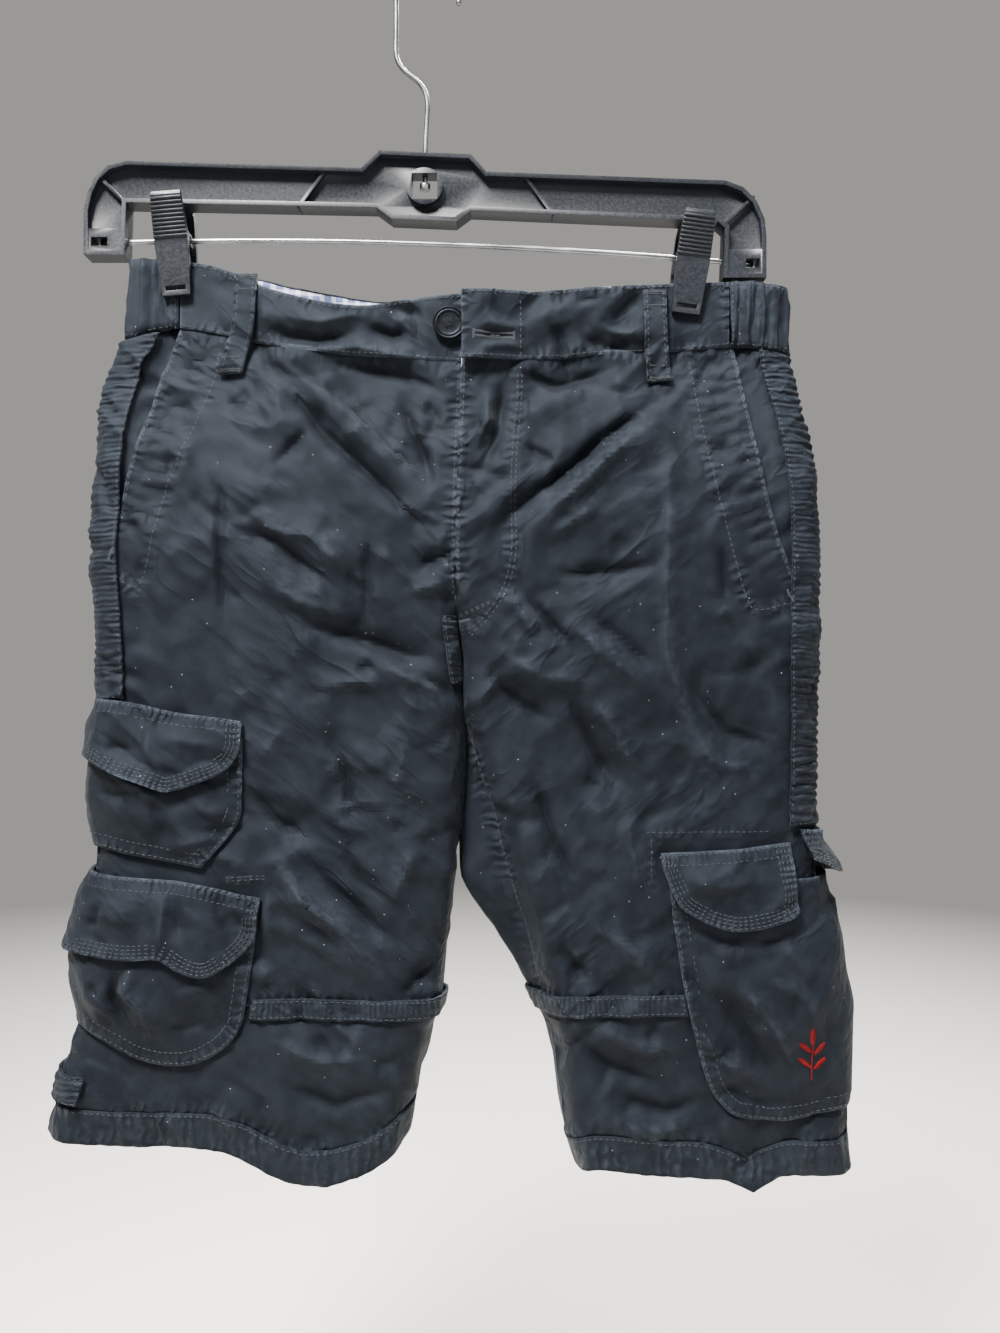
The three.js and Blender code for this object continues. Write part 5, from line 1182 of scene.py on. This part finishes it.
# %% Buttonhole and tacks
HOLE = {"x1": 25.0, "x2": 44.5, "z": -200.4, "half": 1.2}
LOOSE_ENDS = (33.5, 35.5, 37)


def buttonhole():
    """Threads across both lips of the slit and round its ends."""
    row = []
    for x in np.arange(HOLE["x1"], HOLE["x2"], 0.55):
        for turn in (-1, 1):
            hit = front_hit(x, HOLE["z"] + turn * HOLE["half"], BANDS)
            if hit is not None:
                row.append((hit[0], np.array([0.12, 0, 1.0]), hit[1], 1.9, 0.45))
    for x in (HOLE["x1"] - 0.6, HOLE["x2"] + 0.6):
        for z in np.arange(-2.2, 2.3, 0.55):
            hit = front_hit(x, HOLE["z"] + z, BANDS)
            if hit is not None:
                row.append((hit[0], np.array([1.0, 0, 0]), hit[1], 2.0, 0.5))
    return row


TACKS = [
    {"x": 19.5, "z": -347, "wide": 7, "turn": 0.2},
    {"x": -157, "z": -313, "wide": 7, "turn": 1.2},
    {"x": 184, "z": -334, "wide": 7, "turn": 1.9},
]


def tack(spec):
    """A short dense bar of thread across a seam's end."""
    row = []
    ux, uz = math.cos(spec["turn"]), math.sin(spec["turn"])
    for s in np.arange(-spec["wide"] / 2, spec["wide"] / 2, 0.5):
        hit = front_hit(spec["x"] + ux * s, spec["z"] + uz * s, list(shorts))
        if hit is not None:
            row.append((hit[0] + hit[1] * 0.15, np.array([-uz, 0, ux]), hit[1], 2.2, 0.5))
    return row


threads["dark"] += buttonhole()
for x in LOOSE_ENDS:
    hit = front_hit(x, HOLE["z"], BANDS)
    threads["grey"].append((hit[0], np.array([1.0, 0, 0.2]), hit[1], 3.2, 0.35))
for spec in TACKS:
    threads["dark"] += tack(spec)

# %% [markdown]
# A small sprig in satin stitch on the left pocket, in threads that lie side by side.

# %% Sprig
SPRIG = {"x": 193, "z": -563, "pocket": ["left_pocket_body"]}
LEAVES = [
    {"x": 0.0, "z": 9.5, "turn": 88, "length": 9, "wide": 4.2},
    {"x": -3.8, "z": 4.0, "turn": 140, "length": 8.5, "wide": 3.8},
    {"x": 3.9, "z": 3.0, "turn": 42, "length": 8.5, "wide": 3.8},
    {"x": -4.0, "z": -3.6, "turn": 142, "length": 8.5, "wide": 3.6},
    {"x": 4.0, "z": -4.4, "turn": 40, "length": 8.5, "wide": 3.6},
]


def sprig():
    """Threads side by side across each leaf, and a stem of longer ones."""
    row = []
    for leaf in LEAVES:
        turn = math.radians(leaf["turn"])
        ux, uz = math.cos(turn), math.sin(turn)
        for s in np.arange(-0.46, 0.47, 0.055):
            wide = leaf["wide"] * math.sqrt(max(1 - (2 * s) ** 2, 0.02))
            x = SPRIG["x"] + leaf["x"] + ux * s * leaf["length"]
            z = SPRIG["z"] + leaf["z"] + uz * s * leaf["length"]
            hit = front_hit(x, z, SPRIG["pocket"])
            if hit is not None:
                along = np.array([-uz + ux * 0.5, 0, ux + uz * 0.5])
                along = along - hit[1] * along.dot(hit[1])
                row.append((hit[0] + hit[1] * 0.1, along, hit[1], wide, 0.62))
    for z in np.arange(-12, 7, 1.2):
        hit = front_hit(SPRIG["x"] + 0.4 * math.sin(z / 5), SPRIG["z"] + z, SPRIG["pocket"])
        if hit is not None:
            row.append((hit[0] + hit[1] * 0.15, np.array([0.1, 0, 1.0]), hit[1], 2.0, 0.9))
    return row


threads["red"] += sprig()
sewn_threads = {
    "dark": stitches_mesh("black_stitching", threads["dark"], thread_dark),
    "grey": stitches_mesh("worn_stitching", threads["grey"], thread_grey),
    "red": stitches_mesh("sprig_stitching", threads["red"], thread_red),
}
print("stitches", {kind: len(rows) for kind, rows in threads.items()})

# %% [markdown]
# The plastic of the hanger gets softened edges; its steel is smoothed.

# %% Hanger
SOFT_EDGE = {"hanger_body": 0.6, "clip_front_jaw_right": 0.35, "clip_front_jaw_left": 0.35,
             "clip_back_jaw_right": 0.35, "clip_back_jaw_left": 0.35}
hanger = {}
for name, width in SOFT_EDGE.items():
    mesh = nodes[name].data.copy()
    bm = bmesh.new()
    bm.from_mesh(mesh)
    bmesh.ops.remove_doubles(bm, verts=bm.verts, dist=0.02 * MM)
    bmesh.ops.dissolve_limit(bm, angle_limit=math.radians(1.5), verts=bm.verts, edges=bm.edges)
    bm.to_mesh(mesh)
    bm.free()
    made = new_object(f"moulded_{name}", mesh)
    softened = made.modifiers.new("soft edge", "BEVEL")
    softened.width = width * MM
    softened.segments = 2
    softened.limit_method = "ANGLE"
    softened.angle_limit = math.radians(28)
    softened.harden_normals = False
    dress(mesh, plastic)
    mesh.shade_smooth()
    mesh.set_sharp_from_angle(angle=math.radians(50))
    hanger[name] = made
STEEL_PARTS = ["hanger_hook", "hanger_rod", "clip_spring_right", "clip_spring_left"]
# Smoothing draws a wire in a little, so it is let out again
WIRE_SWELL = 0.18
for name in STEEL_PARTS:
    made = smooth_copy(name, 2)
    made.name = f"drawn_{name}"
    set_points(made, points_of(made) + WIRE_SWELL * vectors_of(made.data.vertices, "normal"))
    dress(made.data, steel)
    made.data.shade_smooth()
    hanger[name] = made


# %% Button
# Radius and height of the button's outline, from the middle of its face round to its shank
BUTTON_PROFILE = [
    (0.0, 3.1), (2.6, 3.0), (5.2, 2.75), (5.7, 2.9), (6.1, 3.25), (6.6, 3.3), (6.9, 3.0), (7.3, 3.05),
    (7.7, 3.45), (8.1, 3.5), (8.4, 3.1), (8.4, 2.2), (8.0, 1.5), (7.4, 1.2), (3.2, 1.1), (3.2, 0.2),
]


def turned_button():
    """The button's side profile spun round its axis, then set on the waistband."""
    points = np.array([v.co for v in nodes["button"].data.vertices])
    middle = points.mean(0)
    _, _, axes = np.linalg.svd(points - middle)
    facing = Vector(axes[2] if axes[2][1] < 0 else -axes[2])
    bm = bmesh.new()
    verts = [bm.verts.new((r * MM, 0, h * MM)) for r, h in BUTTON_PROFILE]
    edges = [bm.edges.new(pair) for pair in zip(verts, verts[1:])]
    bmesh.ops.spin(bm, geom=verts + edges, cent=(0, 0, 0), axis=(0, 0, 1), angle=2 * math.pi, steps=64)
    bmesh.ops.remove_doubles(bm, verts=bm.verts, dist=0.005 * MM)
    bmesh.ops.recalc_face_normals(bm, faces=bm.faces)
    low = min((Vector(p) - Vector(middle)).dot(facing) for p in points)
    turn = facing.to_track_quat("Z", "Y").to_matrix().to_4x4()
    place = Matrix.Translation(Vector(middle) + facing * low) @ turn
    bmesh.ops.transform(bm, matrix=place, verts=bm.verts)
    mesh = bpy.data.meshes.new("turned_button")
    bm.to_mesh(mesh)
    bm.free()
    mesh.materials.append(gunmetal)
    mesh.shade_smooth()
    return new_object("turned_button", mesh)


button = turned_button()

# %% [markdown]
# What each piece rides on. The CAD parts that the new pieces replace are hidden.

for row in CLOTH:
    made = shorts[row["piece"]]
    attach(made, "root")
    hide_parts(row["piece"])
for made in sewn_threads.values():
    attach(made, "root")
for name, made in hanger.items():
    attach(made, "root")
    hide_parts(name)
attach(button, "root")
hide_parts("button")

# %% [markdown]
# A plain pale floor that fades out, soft lights, and the camera where the photographer stood.

# %% Stage
FLOOR_Z = -0.92
bm = bmesh.new()
bmesh.ops.create_circle(bm, cap_ends=True, segments=96, radius=2.4)
floor_mesh = bpy.data.meshes.new("floor")
bm.to_mesh(floor_mesh)
bm.free()
floor = new_object("floor", floor_mesh)
floor.location.z = FLOOR_Z
made, tree, surface = finish_named("pale floor")
place = put(tree, "TexCoord").outputs["Object"]
far = put(tree, "VectorMath", {0: place}, operation="LENGTH").outputs["Value"]
tree.links.new(span(tree, far, 0.5, 2.2, 1.0, 0.0), surface.inputs["Alpha"])
surface.inputs["Base Color"].default_value = (0.74, 0.72, 0.68, 1)
surface.inputs["Roughness"].default_value = 0.9
floor_mesh.materials.append(made)

world = bpy.data.worlds.new("studio")
world.use_nodes = True
glow = world.node_tree.nodes["Background"]
glow.inputs["Color"].default_value = (0.80, 0.78, 0.74, 1)
glow.inputs["Strength"].default_value = 0.45
bpy.context.scene.world = world

LIGHTS = [
    {"name": "key", "place": (-0.38, -0.74, 0.84), "size": 0.34, "power": 128, "colour": (1.0, 0.98, 0.95)},
    {"name": "fill", "place": (1.1, -1.3, 0.2), "size": 0.8, "power": 10, "colour": (0.93, 0.96, 1.0)},
    {"name": "top", "place": (0.25, -0.35, 1.1), "size": 0.4, "power": 22, "colour": (1.0, 0.99, 0.97)},
    {"name": "behind", "place": (0.50, 1.1, 1.1), "size": 0.5, "power": 150, "colour": (1.0, 0.98, 0.95)},
]
AIM = Vector((0.02, 0.0, -0.38))
for spec in LIGHTS:
    lamp = bpy.data.lights.new(spec["name"], "AREA")
    lamp.size, lamp.energy, lamp.color = spec["size"], spec["power"], spec["colour"]
    light = new_object(spec["name"], lamp)
    light.location = spec["place"]
    light.rotation_euler = (AIM - light.location).to_track_quat("-Z", "Y").to_euler()

CAMERA = {"lens": 29.29, "sensor": 36, "place": (0.0378, -0.570, -0.3699)}
camera = new_object("camera", bpy.data.cameras.new("camera"))
camera.data.lens, camera.data.sensor_width = CAMERA["lens"], CAMERA["sensor"]
camera.data.clip_start, camera.data.clip_end = 0.01, 20
camera.location = CAMERA["place"]
camera.rotation_euler = (math.pi / 2, 0, 0)
bpy.context.scene.camera = camera
